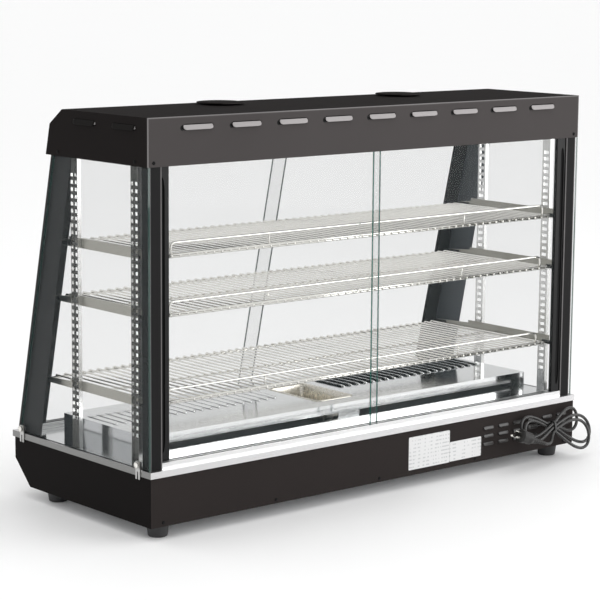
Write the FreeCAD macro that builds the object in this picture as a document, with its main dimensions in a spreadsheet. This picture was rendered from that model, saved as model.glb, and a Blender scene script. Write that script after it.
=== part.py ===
"""Food holding cabinet: a heated glass display case that stands on a counter.

Frame: millimetres, +Z up, +X across the width, the slanted customer side faces -Y and the
operator side faces +Y. The origin is on the surface that the feet stand on, below the middle of
the case. Along Y the sizes are given as distances forward of the rear face of the base.
"""
import FreeCAD, Part
import math
import os
import re
import Sketcher

V = FreeCAD.Vector

# name, value, what it is
DIMENSIONS = [
    ("width", 1200, "width of the base"),
    ("depth", 480, "depth of the base"),
    ("rear_y", 250, "Y place of the rear face of the base"),
    ("foot_height", 28, "height of a rubber foot"),
    ("foot_top", 23.5, "foot radius at the top"),
    ("foot_tip", 19.5, "foot radius at the floor"),
    ("foot_x", 556, "sideways place of the feet"),
    ("foot_rear", 38, "rear feet, forward of the rear face"),
    ("foot_front", 386, "front feet, forward of the rear face"),
    ("wall", 1.5, "sheet thickness of base and hood"),
    ("base_height", 99, "height of the base box"),
    ("nose_height", 54, "height of the slanted lower nose of the base"),
    ("floor_depth", 425, "depth of the base at its bottom"),
    ("trim_height", 13, "height of the bright trim frame"),
    ("trim_side", 2, "trim overhang at sides and rear"),
    ("trim_nose", 6, "trim overhang at the front"),
    ("trim_band", 14, "width of the trim frame's top"),
    ("deck_sheet", 1.5, "deck thickness"),
    ("house_height", 590, "from the deck to the lower edge of the hood"),
    ("pillar_reach", 12, "how far the pillars stand up inside the hood"),
    ("pillar_outer", 593.5, "outer faces of the pillars"),
    ("pillar_width", 28, "pillar size along X"),
    ("rear_pillar_near", 10, "rear pillars, near face"),
    ("rear_pillar_far", 36, "rear pillars, far face"),
    ("slant_front_low", 477, "front pillar, front edge at the deck"),
    ("slant_rear_low", 393, "front pillar, rear edge at the deck"),
    ("slant_front_top", 340, "front pillar, front edge at its top"),
    ("slant_rear_top", 270.5, "front pillar, rear edge at its top"),
    ("glass", 5, "glass thickness"),
    ("pane_outer", 599, "outer faces of the side glass"),
    ("pane_rear", 8, "rear edge of the side glass"),
    ("pane_front_low", 462, "front edge of the side glass at the bottom"),
    ("pane_front_top", 328, "front edge of the side glass at the top"),
    ("hood_half", 599, "half of the hood's width"),
    ("hood_rear", 8, "rear face of the hood"),
    ("hood_height", 94, "height of the hood"),
    ("hood_nose", 63, "height of the hood's slanted front face"),
    ("hood_low_depth", 354, "front of the hood at its lower edge"),
    ("hood_mid_depth", 339, "front of the hood below the chamfer"),
    ("hood_top_depth", 295, "front of the hood at its top"),
    ("louvre_pitch", 120, "spacing of the rear hood louvres"),
    ("louvre_count", 9, "number of rear hood louvres"),
    ("louvre_long", 70, "length of a hood louvre"),
    ("louvre_tall", 7, "height of a hood louvre slot"),
    ("louvre_drop", 22, "hood louvres, below the hood's top"),
    ("vent_cap", 50, "radius of a roof vent cap"),
    ("vent_neck", 30, "radius of the vent neck"),
    ("vent_rise", 6, "height of a roof vent cap above the roof"),
    ("vent_x", 250, "sideways place of the roof vents"),
    ("vent_depth", 230, "roof vents, forward of the rear face"),
    ("pilaster_face", 572, "inner faces of the pilasters"),
    ("pilaster_width", 24, "pilaster size along Y"),
    ("pilaster_lip", 9, "pilaster size along X"),
    ("pilaster_sheet", 1.5, "pilaster thickness"),
    ("pilaster_rear", 65, "rear pilasters, near edge"),
    ("pilaster_front", 270, "front pilasters, near edge"),
    ("slot_pitch", 14.6, "spacing of the pilaster slots"),
    ("slot_count", 35, "slots in a pilaster"),
    ("slot_wide", 14, "slot size along Y"),
    ("slot_tall", 7, "slot height"),
    ("slot_first", 692, "height of the top slot"),
    ("bracket_tall", 20, "height of a shelf bracket"),
    ("bracket_sheet", 2, "bracket thickness"),
    ("bracket_shelf", 16, "width of the ledge that carries a shelf"),
    ("bracket_step", 314, "where a bracket's arm begins to taper"),
    ("wire", 4, "thickness of the shelf wires"),
    ("wire_pitch", 20.8, "spacing of the shelf wires"),
    ("wire_gaps", 52, "gaps between the shelf wires"),
    ("cross_half", 564, "half length of the shelf's cross rods"),
    ("guard_half", 525, "half length of the guard rail"),
    ("guard_tall", 26.5, "top of the guard rail above the shelf"),
    ("guard_strut", 275, "sideways place of the guard rail's struts"),
    ("door_overlap", 14, "how far a sliding pane passes the middle"),
    ("door_sill", 3.3, "lower edge of a sliding pane above the deck"),
    ("stile_outer", 563, "outer edge of the rear door stiles"),
    ("stile_width", 25, "width of the rear door stiles"),
    ("stile_thick", 9, "thickness of a rear door stile"),
    ("track_tall", 12, "height of a door track"),
    ("cover_half", 540, "half length of the heater cover"),
    ("cover_near", 100, "heater cover, rear face"),
    ("cover_far", 385, "heater cover, front face"),
    ("cover_tall", 45, "height of the heater cover"),
    ("cover_sheet", 1.2, "thickness of the heater cover"),
    ("fin_pitch", 22, "spacing of the heater cover's louvres"),
    ("fin_count", 20, "louvres on each side of the pan"),
    ("fin_first", 100, "sideways place of the first louvre"),
    ("fin_near", 228, "louvres, near end"),
    ("fin_far", 326, "louvres, far end"),
    ("fin_wide", 7, "width of a louvre slot"),
    ("pan_rim_x", 108, "water pan rim along X"),
    ("pan_rim_y", 176, "water pan rim along Y"),
    ("pan_body_x", 98, "water pan body along X"),
    ("pan_body_y", 166, "water pan body along Y"),
    ("pan_deep", 60, "depth of the water pan"),
    ("pan_depth", 229, "middle of the pan, forward of the rear face"),
    ("pan_sheet", 1.2, "thickness of the water pan"),
    ("knob_x", 510, "sideways place of the thermostat knob"),
    ("knob_radius", 18, "radius of the thermostat knob"),
    ("knob_tall", 20, "how far the knob stands forward"),
    ("shaft_radius", 3, "radius of the thermostat shaft"),
    ("dial_x", 330, "sideways place of the thermometer"),
    ("dial_radius", 20, "radius of the thermometer bezel"),
    ("heat_x", 445, "sideways place of the heat switch"),
    ("light_x", 400, "sideways place of the light switch"),
    ("panel_z", 104.5, "height of the controls"),
    ("cord_radius", 3.75, "radius of the mains cord"),
]
DIM = {name: value for name, value, _ in DIMENSIONS}

doc = FreeCAD.newDocument("FoodHoldingCabinet")
PARTS = {}


def make_sheet():
    """Put every driving dimension in a named cell of the sheet called Dims."""
    sheet = doc.addObject("Spreadsheet::Sheet", "Dims")
    for row, (name, value, note) in enumerate(DIMENSIONS, start=1):
        sheet.set(f"A{row}", note)
        sheet.set(f"B{row}", str(value))
        sheet.setAlias(f"B{row}", name)
    doc.recompute()


def formula(text):
    """Turn the names of dimensions in a formula into references to their cells."""
    return re.sub(r"[a-z_]+", lambda m: f"Dims.{m[0]}" if m[0] in DIM else m[0], str(text))


def bind(thing, prop, text):
    thing.setExpression(prop, formula(text))


def keep(node, thing):
    """Name a finished sub-part after its node."""
    thing.Label = node
    PARTS[node] = thing
    return thing


# Heights used by many sub-parts
BASE_TOP = "(foot_height + base_height)"
DECK = "(foot_height + base_height + trim_height)"
HOOD = f"({DECK} + house_height)"
CEILING = f"({HOOD} + pillar_reach)"
ROOF = f"({HOOD} + hood_height)"
COVER_TOP = f"({DECK} + cover_tall)"
SLANT = f"((slant_front_low - slant_front_top) / (house_height + pillar_reach))"


# ---------------------------------------------------------------- primitives

def box(name, x0, x1, near, far, z0, z1):
    """A block between two X places, two distances forward of the rear face and two heights."""
    block = doc.addObject("Part::Box", name)
    bind(block, "Length", f"({x1}) - ({x0})")
    bind(block, "Width", f"({far}) - ({near})")
    bind(block, "Height", f"({z1}) - ({z0})")
    bind(block, "Placement.Base.x", x0)
    bind(block, "Placement.Base.y", f"rear_y - ({far})")
    bind(block, "Placement.Base.z", z0)
    return block


def rod(name, radius, length, x, depth, z, along=V(0, 0, 1), top=None):
    """A cylinder, or a cone if top is given, from a start place along a direction."""
    shape = doc.addObject("Part::Cone" if top else "Part::Cylinder", name)
    if top:
        bind(shape, "Radius1", radius)
        bind(shape, "Radius2", top)
    else:
        bind(shape, "Radius", radius)
    bind(shape, "Height", length)
    shape.Placement = FreeCAD.Placement(V(0, 0, 0), FreeCAD.Rotation(V(0, 0, 1), along))
    bind(shape, "Placement.Base.x", x)
    bind(shape, "Placement.Base.y", f"rear_y - ({depth})")
    bind(shape, "Placement.Base.z", z)
    return shape


def join(name, shapes):
    fused = doc.addObject("Part::MultiFuse", name)
    fused.Shapes = shapes
    return fused


def cut(name, base, tools):
    """Take one or more tools away from a base."""
    result = doc.addObject("Part::Cut", name)
    result.Base = base
    result.Tool = tools[0] if len(tools) == 1 else join(name + "_tools", tools)
    return result


def group(name, shapes):
    """Several separate solids that share one node."""
    compound = doc.addObject("Part::Compound", name)
    compound.Links = shapes
    return compound


# ---------------------------------------------------------------- sketched bodies

def sketch_on(body, role, name, offset="0"):
    """An empty sketch on one of the body's own origin planes, moved along its normal."""
    sketch = body.newObject("Sketcher::SketchObject", name)
    plane = next(f for f in body.Origin.OriginFeatures if f.Role == role)
    sketch.AttachmentSupport = [(plane, "")]
    sketch.MapMode = "FlatFace"
    bind(sketch, "AttachmentOffset.Base.z", offset)
    return sketch


def outline(sketch, points):
    """A closed polygon whose corners are bound to formulas, given as (across, up) pairs."""
    first = sketch.GeometryCount
    count = len(points)
    start = [V(9 * math.cos(6.28 * i / count), 9 * math.sin(6.28 * i / count), 0) for i in range(count)]
    for i in range(count):
        sketch.addGeometry(Part.LineSegment(start[i], start[(i + 1) % count]), False)
    for i in range(count):
        after = first + (i + 1) % count
        sketch.addConstraint(Sketcher.Constraint("Coincident", first + i, 2, after, 1))
    for i, (across, up) in enumerate(points):
        for kind, text, value in (("DistanceX", across, start[i].x), ("DistanceY", up, start[i].y)):
            index = sketch.addConstraint(Sketcher.Constraint(kind, -1, 1, first + i, 1, value))
            bind(sketch, f"Constraints[{index}]", text)


def rectangle(sketch, left, right, low, high):
    outline(sketch, [(left, low), (right, low), (right, high), (left, high)])


def pad(body, sketch, length, midplane=False, name="Pad"):
    feature = body.newObject("PartDesign::Pad", body.Name + name)
    feature.Profile = sketch
    feature.Midplane = midplane
    bind(feature, "Length", length)
    return feature


def pocket(body, sketch, length=None, name="Pocket"):
    """Cut both ways from the sketch: through everything, or to a length shared by both sides."""
    feature = body.newObject("PartDesign::Pocket", body.Name + name)
    feature.Profile = sketch
    feature.Midplane = True
    if length:
        bind(feature, "Length", length)
    else:
        feature.Type = "ThroughAll"
    return feature


def repeat(body, feature, sketch, axis, length, count, name="Row"):
    """Repeat a feature along an axis of its sketch."""
    pattern = body.newObject("PartDesign::LinearPattern", body.Name + name)
    pattern.Originals = [feature]
    pattern.Direction = (sketch, [axis])
    bind(pattern, "Length", length)
    bind(pattern, "Occurrences", count)
    body.Tip = pattern
    return pattern


def body_named(name):
    return doc.addObject("PartDesign::Body", name)


def back(distance):
    """Y place of something a distance forward of the rear face."""
    return f"(rear_y - ({distance}))"


def profile_body(name, points, x0=None, x1=None, width=None):
    """A side profile, given as (distance forward, height) pairs, carried along X."""
    body = body_named(name)
    sketch = sketch_on(body, "YZ_Plane", name + "Profile", x0 if x0 else "0")
    outline(sketch, [(back(near), up) for near, up in points])
    if width:
        pad(body, sketch, width, midplane=True)
    else:
        pad(body, sketch, f"({x1}) - ({x0})")
    return body


# ---------------------------------------------------------------- base

def base_profile(inset):
    """The base seen from the side, inset by a wall: straight rear, slanted lower nose."""
    return [
        (inset, "foot_height"),
        (inset, BASE_TOP),
        (f"depth - {inset}", BASE_TOP),
        (f"depth - {inset}", "foot_height + nose_height"),
        (f"floor_depth - {inset}", "foot_height"),
    ]


def make_base_shell():
    body = profile_body("BaseShell", base_profile("0"), width="width")
    inner = sketch_on(body, "YZ_Plane", "BaseInner")
    outline(inner, [(back(near), up) for near, up in base_profile("wall")])
    pocket(body, inner, "width - 2 * wall", "Hollow")
    for row in range(3):
        louvre = sketch_on(body, "XZ_Plane", f"RearLouvre{row}", "-rear_y")
        height = f"foot_height + 36 + {18 * row}"
        rectangle(louvre, "-575", "-545", f"{height} - 3", f"{height} + 3")
        first = pocket(body, louvre, "wall * 4", f"Louvre{row}")
        repeat(body, first, louvre, "H_Axis", "235", "6", f"Louvres{row}")
    panel = sketch_on(body, "XZ_Plane", "PanelHoles", "depth - rear_y")
    for place in ("heat_x", "light_x"):
        rectangle(panel, f"{place} - 9.8", f"{place} + 9.8", "panel_z - 13.8", "panel_z + 13.8")
    rectangle(panel, "knob_x - 6", "knob_x + 6", "panel_z - 6", "panel_z + 6")
    rectangle(panel, "dial_x - 17", "dial_x + 17", "panel_z - 17", "panel_z + 17")
    pocket(body, panel, "wall * 4", "Panel")
    cord_hole = sketch_on(body, "XZ_Plane", "CordHole", "-rear_y")
    rectangle(cord_hole, "-448.8", "-436.2", "81.7", "94.3")
    pocket(body, cord_hole, "wall * 4", "Cord")
    keep("base_shell", body)


def make_base_floor():
    plate = box("Floor", "-(width / 2 - wall - 0.3)", "width / 2 - wall - 0.3", "wall + 0.3",
                "floor_depth - wall - 0.7", "foot_height", "foot_height + wall")
    keep("base_bottom_plate", plate)
    feet = []
    for side in (-1, 1):
        for place in ("foot_rear", "foot_front"):
            feet.append(rod("Foot", "foot_tip", "foot_height", f"{side} * foot_x", place, "0",
                            top="foot_top"))
    keep("feet", group("Feet", feet))


def make_trim():
    outer = box("TrimOuter", "-(width / 2 + trim_side)", "width / 2 + trim_side", "-trim_side",
                "depth + trim_nose", BASE_TOP, DECK)
    hole = box("TrimHole", "-(width / 2 - trim_band)", "width / 2 - trim_band", "trim_band",
               "depth - trim_band", BASE_TOP, DECK)
    step = box("TrimStep", "-(width / 2 - 6)", "width / 2 - 6", "6", "depth - 6",
               f"{DECK} - deck_sheet", DECK)
    keep("deck_trim", cut("Trim", outer, [hole, step]))


def make_deck():
    plate = box("DeckPlate", "-(width / 2 - 6.3)", "width / 2 - 6.3", "6.3", "depth - 6.3",
                f"{DECK} - deck_sheet", DECK)
    hole = box("DeckHole", "-(pan_body_x / 2 + 6)", "pan_body_x / 2 + 6",
               "pan_depth - pan_body_y / 2 - 6", "pan_depth + pan_body_y / 2 + 6",
               f"{DECK} - deck_sheet", DECK)
    keep("deck_plate", cut("Deck", plate, [hole]))


# ---------------------------------------------------------------- heating and water

def make_heater_cover():
    body = body_named("HeaterCover")
    footprint = sketch_on(body, "XY_Plane", "CoverFootprint", DECK)
    rectangle(footprint, "-cover_half", "cover_half", back("cover_far"), back("cover_near"))
    pad(body, footprint, "cover_tall")
    inside = sketch_on(body, "XY_Plane", "CoverInside", DECK)
    rectangle(inside, "-(cover_half - cover_sheet)", "cover_half - cover_sheet",
              back("cover_far - cover_sheet"), back("cover_near + cover_sheet"))
    pocket(body, inside, "2 * (cover_tall - cover_sheet)", "Hollow")
    pan_hole = sketch_on(body, "XY_Plane", "CoverPanHole")
    rectangle(pan_hole, "-(pan_body_x / 2 + 1)", "pan_body_x / 2 + 1",
              back("pan_depth + pan_body_y / 2 + 1"), back("pan_depth - pan_body_y / 2 - 1"))
    pocket(body, pan_hole, None, "PanHole")
    for side, word in ((1, "Left"), (-1, "Right")):
        slot = sketch_on(body, "XY_Plane", f"Fin{word}")
        start = "fin_first" if side == 1 else "-(fin_first + (fin_count - 1) * fin_pitch)"
        rectangle(slot, f"{start} - fin_wide / 2", f"{start} + fin_wide / 2", back("fin_far"),
                  back("fin_near"))
        first = pocket(body, slot, None, f"Fin{word}Slot")
        repeat(body, first, slot, "H_Axis", "(fin_count - 1) * fin_pitch", "fin_count",
               f"Fin{word}Row")
    intake = sketch_on(body, "XZ_Plane", "Intake", "cover_near - rear_y")
    for left, right in (("-505", "-30"), ("30", "505")):
        rectangle(intake, left, right, f"{DECK} + 10", f"{DECK} + 25")
    body.Tip = pocket(body, intake, "cover_sheet * 4", "Intake")
    keep("heater_cover", body)


def make_water_pan():
    body = body_named("WaterPan")
    rim = sketch_on(body, "XY_Plane", "PanRim", COVER_TOP)
    rectangle(rim, "-pan_rim_x / 2", "pan_rim_x / 2", back("pan_depth + pan_rim_y / 2"),
              back("pan_depth - pan_rim_y / 2"))
    pad(body, rim, "pan_sheet", name="Rim")
    tub = sketch_on(body, "XY_Plane", "PanTub", f"{COVER_TOP} + pan_sheet - pan_deep")
    rectangle(tub, "-pan_body_x / 2", "pan_body_x / 2", back("pan_depth + pan_body_y / 2"),
              back("pan_depth - pan_body_y / 2"))
    pad(body, tub, "pan_deep", name="Tub")
    inside = sketch_on(body, "XY_Plane", "PanInside", f"{COVER_TOP} + pan_sheet")
    rectangle(inside, "-(pan_body_x / 2 - pan_sheet)", "pan_body_x / 2 - pan_sheet",
              back("pan_depth + pan_body_y / 2 - pan_sheet"),
              back("pan_depth - pan_body_y / 2 + pan_sheet"))
    body.Tip = pocket(body, inside, "2 * (pan_deep - pan_sheet)", "Hollow")
    keep("water_pan", body)


def make_heating_element(word, side):
    """A tube bent into a U: two long legs along X, a round end, and two terminals to the deck."""
    height = f"{DECK} + 22"
    near, far = 200, 300
    bend = (far - near) / 2
    reach = 360
    start = 95
    pieces = []
    for place in (near, far):
        pieces.append(rod(word + "Leg", "4", str(reach), f"{side * start}", str(place), height,
                          V(side, 0, 0)))
        pieces.append(rod(word + "Terminal", "5", "23", f"{side * start}", str(place), f"{DECK} + 1.2"))
    ring = doc.addObject("Part::Torus", word + "Bend")
    ring.Radius1 = bend
    ring.Radius2 = 4
    ring.Angle3 = 180
    ring.Placement = FreeCAD.Placement(V(0, 0, 0), FreeCAD.Rotation(V(0, 0, 1), -90 * side))
    bind(ring, "Placement.Base.x", f"{side * (start + reach)}")
    bind(ring, "Placement.Base.y", back(str((near + far) / 2)))
    bind(ring, "Placement.Base.z", height)
    keep(f"heating_element_{word}", join(f"Element_{word}", pieces + [ring]))


def make_heat_shield():
    plate = box("Shield", "-530", "530", "106", "380", DECK, f"{DECK} + 1")
    hole = box("ShieldHole", "-(pan_body_x / 2 + 6)", "pan_body_x / 2 + 6",
               "pan_depth - pan_body_y / 2 - 6", "pan_depth + pan_body_y / 2 + 6", DECK, f"{DECK} + 1")
    keep("heat_shield", cut("HeatShield", plate, [hole]))


# ---------------------------------------------------------------- controls on the front

def make_thermostat():
    can = box("ThermostatCan", "knob_x - 17", "knob_x + 17", "depth - 34", "depth - wall",
              "panel_z - 17", "panel_z + 17")
    shaft = rod("Shaft", "shaft_radius", "16", "knob_x", "depth - wall", "panel_z", V(0, -1, 0))
    keep("thermostat_body", join("Thermostat", [can, shaft]))
    grip = rod("KnobGrip", "knob_radius - 2", "knob_tall", "knob_x", "depth + 2", "panel_z",
               V(0, -1, 0), top="knob_radius - 4")
    skirt = rod("KnobSkirt", "knob_radius", "4", "knob_x", "depth + 2", "panel_z", V(0, -1, 0))
    bore = rod("KnobBore", "shaft_radius + 0.05", "14", "knob_x", "depth + 2", "panel_z", V(0, -1, 0))
    keep("thermostat_knob", cut("Knob", join("KnobSolid", [grip, skirt]), [bore]))


def make_thermometer():
    bezel = rod("DialBezel", "dial_radius", "4", "dial_x", "depth", "panel_z", V(0, -1, 0))
    can = rod("DialCan", "16.5", "20", "dial_x", "depth - 20", "panel_z", V(0, -1, 0))
    keep("thermometer", join("Thermometer", [bezel, can]))


def make_switch(word, place):
    """A snap-in rocker switch: a housing with a bezel, and the rocker, which rests tipped."""
    bezel = box(word + "Bezel", f"{place} - 12", f"{place} + 12", "depth", "depth + 2",
                "panel_z - 16", "panel_z + 16")
    can = box(word + "Can", f"{place} - 9.5", f"{place} + 9.5", "depth - 22", "depth",
              "panel_z - 13.5", "panel_z + 13.5")
    well = box(word + "Well", f"{place} - 7.5", f"{place} + 7.5", "depth - 16", "depth + 2",
               "panel_z - 12", "panel_z + 12")
    bore = rod(word + "Bore", "1.55", "18", f"{place} - 9", "depth", "panel_z", V(1, 0, 0))
    case = join(word + "Case", [bezel, can])
    keep(f"{word}_switch_housing", cut(word + "Housing", case, [well, bore]))
    rocker = doc.addObject("Part::Box", word + "Rocker")
    rocker.Length = 14
    rocker.Width = 10
    rocker.Height = 20
    tilt = FreeCAD.Rotation(V(1, 0, 0), -8)
    corner = tilt.multVec(V(-7, -6, -10))
    rocker.Placement = FreeCAD.Placement(V(0, 0, 0), tilt)
    bind(rocker, "Placement.Base.x", f"{place} + {corner.x:.6f}")
    bind(rocker, "Placement.Base.y", f"{back('depth')} + {corner.y:.6f}")
    bind(rocker, "Placement.Base.z", f"panel_z + {corner.z:.6f}")
    pivot = rod(word + "Pivot", "1.5", "17", f"{place} - 8.5", "depth", "panel_z", V(1, 0, 0))
    keep(f"{word}_switch_rocker", join(word + "RockerJoined", [rocker, pivot]))


def make_terminal_block():
    keep("terminal_block", box("Terminals", "-420", "-350", "30", "50", "foot_height + wall",
                               "foot_height + wall + 20"))


# ---------------------------------------------------------------- glass house

def make_pillars():
    """Front pillars are folded angles that lean back; rear pillars are upright square tubes."""
    for word, side in (("right", 1), ("left", -1)):
        def span(inner, outer):
            return (inner, outer) if side == 1 else (f"-({outer})", f"-({inner})")

        cheek = profile_body(f"FrontCheek{word}", [
            ("slant_rear_low", DECK), ("slant_rear_top", CEILING), ("slant_front_top", CEILING),
            ("slant_front_low", DECK)], *span("pillar_outer - wall", "pillar_outer"))
        face = profile_body(f"FrontFace{word}", [
            ("slant_front_low - wall", DECK), ("slant_front_top - wall", CEILING),
            ("slant_front_top", CEILING), ("slant_front_low", DECK)],
            *span("pillar_outer - pillar_width", "pillar_outer"))
        keep(f"front_pillar_{word}", join(f"FrontPillar{word}", [cheek, face]))
        tube = box(f"RearTube{word}", *span("pillar_outer - pillar_width", "pillar_outer"),
                   "rear_pillar_near", "rear_pillar_far", DECK, CEILING)
        inside = box(f"RearInside{word}",
                     *span("pillar_outer - pillar_width + wall", "pillar_outer - wall"),
                     "rear_pillar_near + wall", "rear_pillar_far - wall", DECK, CEILING)
        keep(f"rear_pillar_{word}", cut(f"RearPillar{word}", tube, [inside]))


def make_side_glass():
    for word, side in (("right", 1), ("left", -1)):
        inner = "pane_outer - glass"
        x0, x1 = (inner, "pane_outer") if side == 1 else ("-pane_outer", f"-({inner})")
        top = f"{HOOD} - 0.5"
        pane = profile_body(f"SideGlass{word}", [("pane_rear", DECK), ("pane_rear", top),
                            ("pane_front_top", top), ("pane_front_low", DECK)], x0, x1)
        keep(f"side_glass_{word}", pane)


def make_glass_clips():
    """Forked clips that hook over the trim and press the side glass, each with a thumb screw."""
    clips = []
    screws = []
    for side in (-1, 1):
        for place in (38, 448):
            edge = "(width / 2 + trim_side)"
            spans = [(f"{edge} + 0.2", f"{edge} + 2.2"), ("pane_outer + 0.1", f"{edge} + 0.3"),
                     (f"{edge} + 2.2", f"{edge} + 8")]
            spans = [(a, b) if side == 1 else (f"-({b})", f"-({a})") for a, b in spans]
            plate = box("ClipPlate", *spans[0], f"{place - 7}", f"{place + 7}", f"{DECK} - 19", f"{DECK} + 16")
            fork = box("ClipFork", *spans[0], f"{place - 2}", f"{place + 2}", f"{DECK} - 19", f"{DECK} - 4")
            tab = box("ClipTab", *spans[1], f"{place - 7}", f"{place + 7}", f"{DECK} + 2", f"{DECK} + 16")
            clips.append(join("Clip", [cut("ClipForked", plate, [fork]), tab]))
            start = spans[2][0] if side == 1 else spans[2][1]
            screws.append(rod("ThumbScrew", "6.5", "6", start, f"{place}", f"{DECK} + 9", V(side, 0, 0)))
    keep("glass_clips", group("Clips", clips))
    keep("thumb_screws", group("ThumbScrews", screws))


def make_pilaster(word, side, near):
    """A slotted channel: the face looks inwards and two lips point at the side glass."""
    body = body_named("Pilaster" + word.title().replace("_", ""))
    far = f"{near} + pilaster_width"
    spans = [
        ("pilaster_face", "pilaster_face + pilaster_sheet", near, far),
        ("pilaster_face", "pilaster_face + pilaster_lip", near, f"{near} + pilaster_sheet"),
        ("pilaster_face", "pilaster_face + pilaster_lip", f"{far} - pilaster_sheet", far),
    ]
    for index, (inner, outer, near_edge, far_edge) in enumerate(spans):
        sketch = sketch_on(body, "XY_Plane", f"{body.Name}Section{index}", DECK)
        left, right = (inner, outer) if side == 1 else (f"-({outer})", f"-({inner})")
        rectangle(sketch, left, right, back(far_edge), back(near_edge))
        pad(body, sketch, "house_height + pillar_reach", name=f"Wall{index}")
    slot = sketch_on(body, "YZ_Plane", body.Name + "Slot")
    middle = f"({near} + pilaster_width / 2)"
    low = "(slot_first - (slot_count - 1) * slot_pitch)"
    rectangle(slot, back(f"{middle} + slot_wide / 2"), back(f"{middle} - slot_wide / 2"),
              f"{low} - slot_tall / 2", f"{low} + slot_tall / 2")
    first = pocket(body, slot, None, "Slot")
    repeat(body, first, slot, "V_Axis", "(slot_count - 1) * slot_pitch", "slot_count", "Slots")
    keep(f"pilaster_{word}", body)


# ---------------------------------------------------------------- shelves

# level: how many slots below the top slot the brackets hook in, rear end and front end
SHELVES = [("top", 9, 37, 350), ("middle", 17, 41, 380), ("bottom", 29, 47, 420)]
HOOK_RISE = 6.6   # from a shelf's wires up to the slot that its brackets hook in


def shelf_level(slots_down):
    """Height of the middle of a shelf's wires."""
    return f"(slot_first - {slots_down} * slot_pitch - {HOOK_RISE})"


def make_bracket(word, side, slots_down, near, far):
    """An angle: an upright leg against the pilasters, a ledge under the wires, a tapered arm."""
    level = shelf_level(slots_down)
    low = f"{level} - wire * 1.5 - bracket_sheet"
    outer = "(pilaster_face - 0.3)"
    inner = "(pilaster_face - 0.3 - bracket_sheet)"
    name = f"Bracket{word}{'L' if side == 1 else 'R'}"
    x0, x1 = (inner, outer) if side == 1 else (f"-{outer}", f"-{inner}")
    leg = profile_body(name, [(near, low), (near, f"{low} + bracket_tall"),
                       ("bracket_step", f"{low} + bracket_tall"), ("bracket_step", f"{low} + 14"),
                       (far, f"{low} + 9"), (far, f"{low}")], x0, x1)
    ledge_in = "(pilaster_face - bracket_shelf - bracket_sheet)"
    l0, l1 = (ledge_in, outer) if side == 1 else (f"-{outer}", f"-{ledge_in}")
    ledge = box(name + "Ledge", l0, l1, near, far, low, f"{low} + bracket_sheet")
    pieces = [leg, ledge]
    for place in ("pilaster_rear", "pilaster_front"):
        h0, h1 = (outer, f"{outer} + 5") if side == 1 else (f"-({outer} + 5)", f"-{outer}")
        pieces.append(box(name + "Lug", h0, h1, f"{place} + 10", f"{place} + 14",
                          f"{level} + {HOOK_RISE} - 2.8", f"{level} + {HOOK_RISE} + 1.5"))
    return join(name + "Joined", pieces)


def make_brackets():
    caps = []
    for word, slots_down, near, far in SHELVES:
        pair = [make_bracket(word, side, slots_down, str(near + 6), str(far)) for side in (1, -1)]
        keep(f"shelf_brackets_{word}", group(f"Brackets_{word}", pair))
        low = f"{shelf_level(slots_down)} - wire * 1.5 - bracket_sheet"
        for side in (1, -1):
            spans = ("(pilaster_face - 7)", "(pilaster_face - 0.3)")
            x0, x1 = spans if side == 1 else (f"-{spans[1]}", f"-{spans[0]}")
            caps.append(box("FrontCap", x0, x1, str(far), str(far + 3), low, f"{low} + 9"))
            caps.append(box("RearCap", x0, x1, str(near), str(near + 6), low, f"{low} + 9"))
    keep("bracket_end_caps", group("BracketCaps", caps))


def make_shelf(word, slots_down, near, far):
    """A welded grid: bars from rear to front, three cross rods, and a guard rail at the rear."""
    level = shelf_level(slots_down)
    body = body_named(f"Shelf{word.title()}")
    half = "(wire_gaps * wire_pitch / 2 + wire / 2)"
    plate = sketch_on(body, "XY_Plane", body.Name + "Plate", f"{level} - wire / 2")
    rectangle(plate, f"-{half}", half, back(f"{far} - 4"), back(near))
    pad(body, plate, "wire", name="Plate")
    rods = sketch_on(body, "XY_Plane", body.Name + "Rods", f"{level} - wire * 1.5")
    for place in (f"{near} + 2", f"{(near + far) / 2}", f"{far} - 8"):
        rectangle(rods, "-cross_half", "cross_half", back(f"{place} + 2.5"), back(f"{place} - 2.5"))
    pad(body, rods, "wire", name="Rods")
    rail = sketch_on(body, "XZ_Plane", body.Name + "Rail", f"{near} + 2.5 - rear_y")
    rectangle(rail, "-guard_half", "guard_half", f"{level} - wire / 2", f"{level} + guard_tall")
    for left, right in (("-guard_half", "-guard_strut"), ("-guard_strut", "guard_strut"),
                        ("guard_strut", "guard_half")):
        rectangle(rail, f"{left} + 5", f"{right} - 5", f"{level} + wire / 2", f"{level} + guard_tall - 5")
    pad(body, rail, "5", midplane=True, name="Rail")
    gap = sketch_on(body, "XY_Plane", body.Name + "Gap")
    rectangle(gap, f"-{half} + wire", f"-{half} + wire_pitch", back(f"{far} - 12"), back(f"{near} + 5"))
    bind(gap, "AttachmentOffset.Base.z", level)
    first = pocket(body, gap, "wire", "Gap")
    repeat(body, first, gap, "H_Axis", "(wire_gaps - 1) * wire_pitch", "wire_gaps", "Gaps")
    keep(f"shelf_{word}", body)


# ---------------------------------------------------------------- hood and lamps

def hood_profile(inset, low):
    """The hood seen from the side: straight rear, flat top, chamfer, leaning front face."""
    return [
        (f"hood_rear + {inset}", low),
        (f"hood_rear + {inset}", f"{ROOF} - {inset}"),
        (f"hood_top_depth - {inset} * 0.5", f"{ROOF} - {inset}"),
        (f"hood_mid_depth - {inset}", f"{HOOD} + hood_nose - {inset} * 0.5"),
        (f"hood_low_depth - {inset}", low),
    ]


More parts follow.
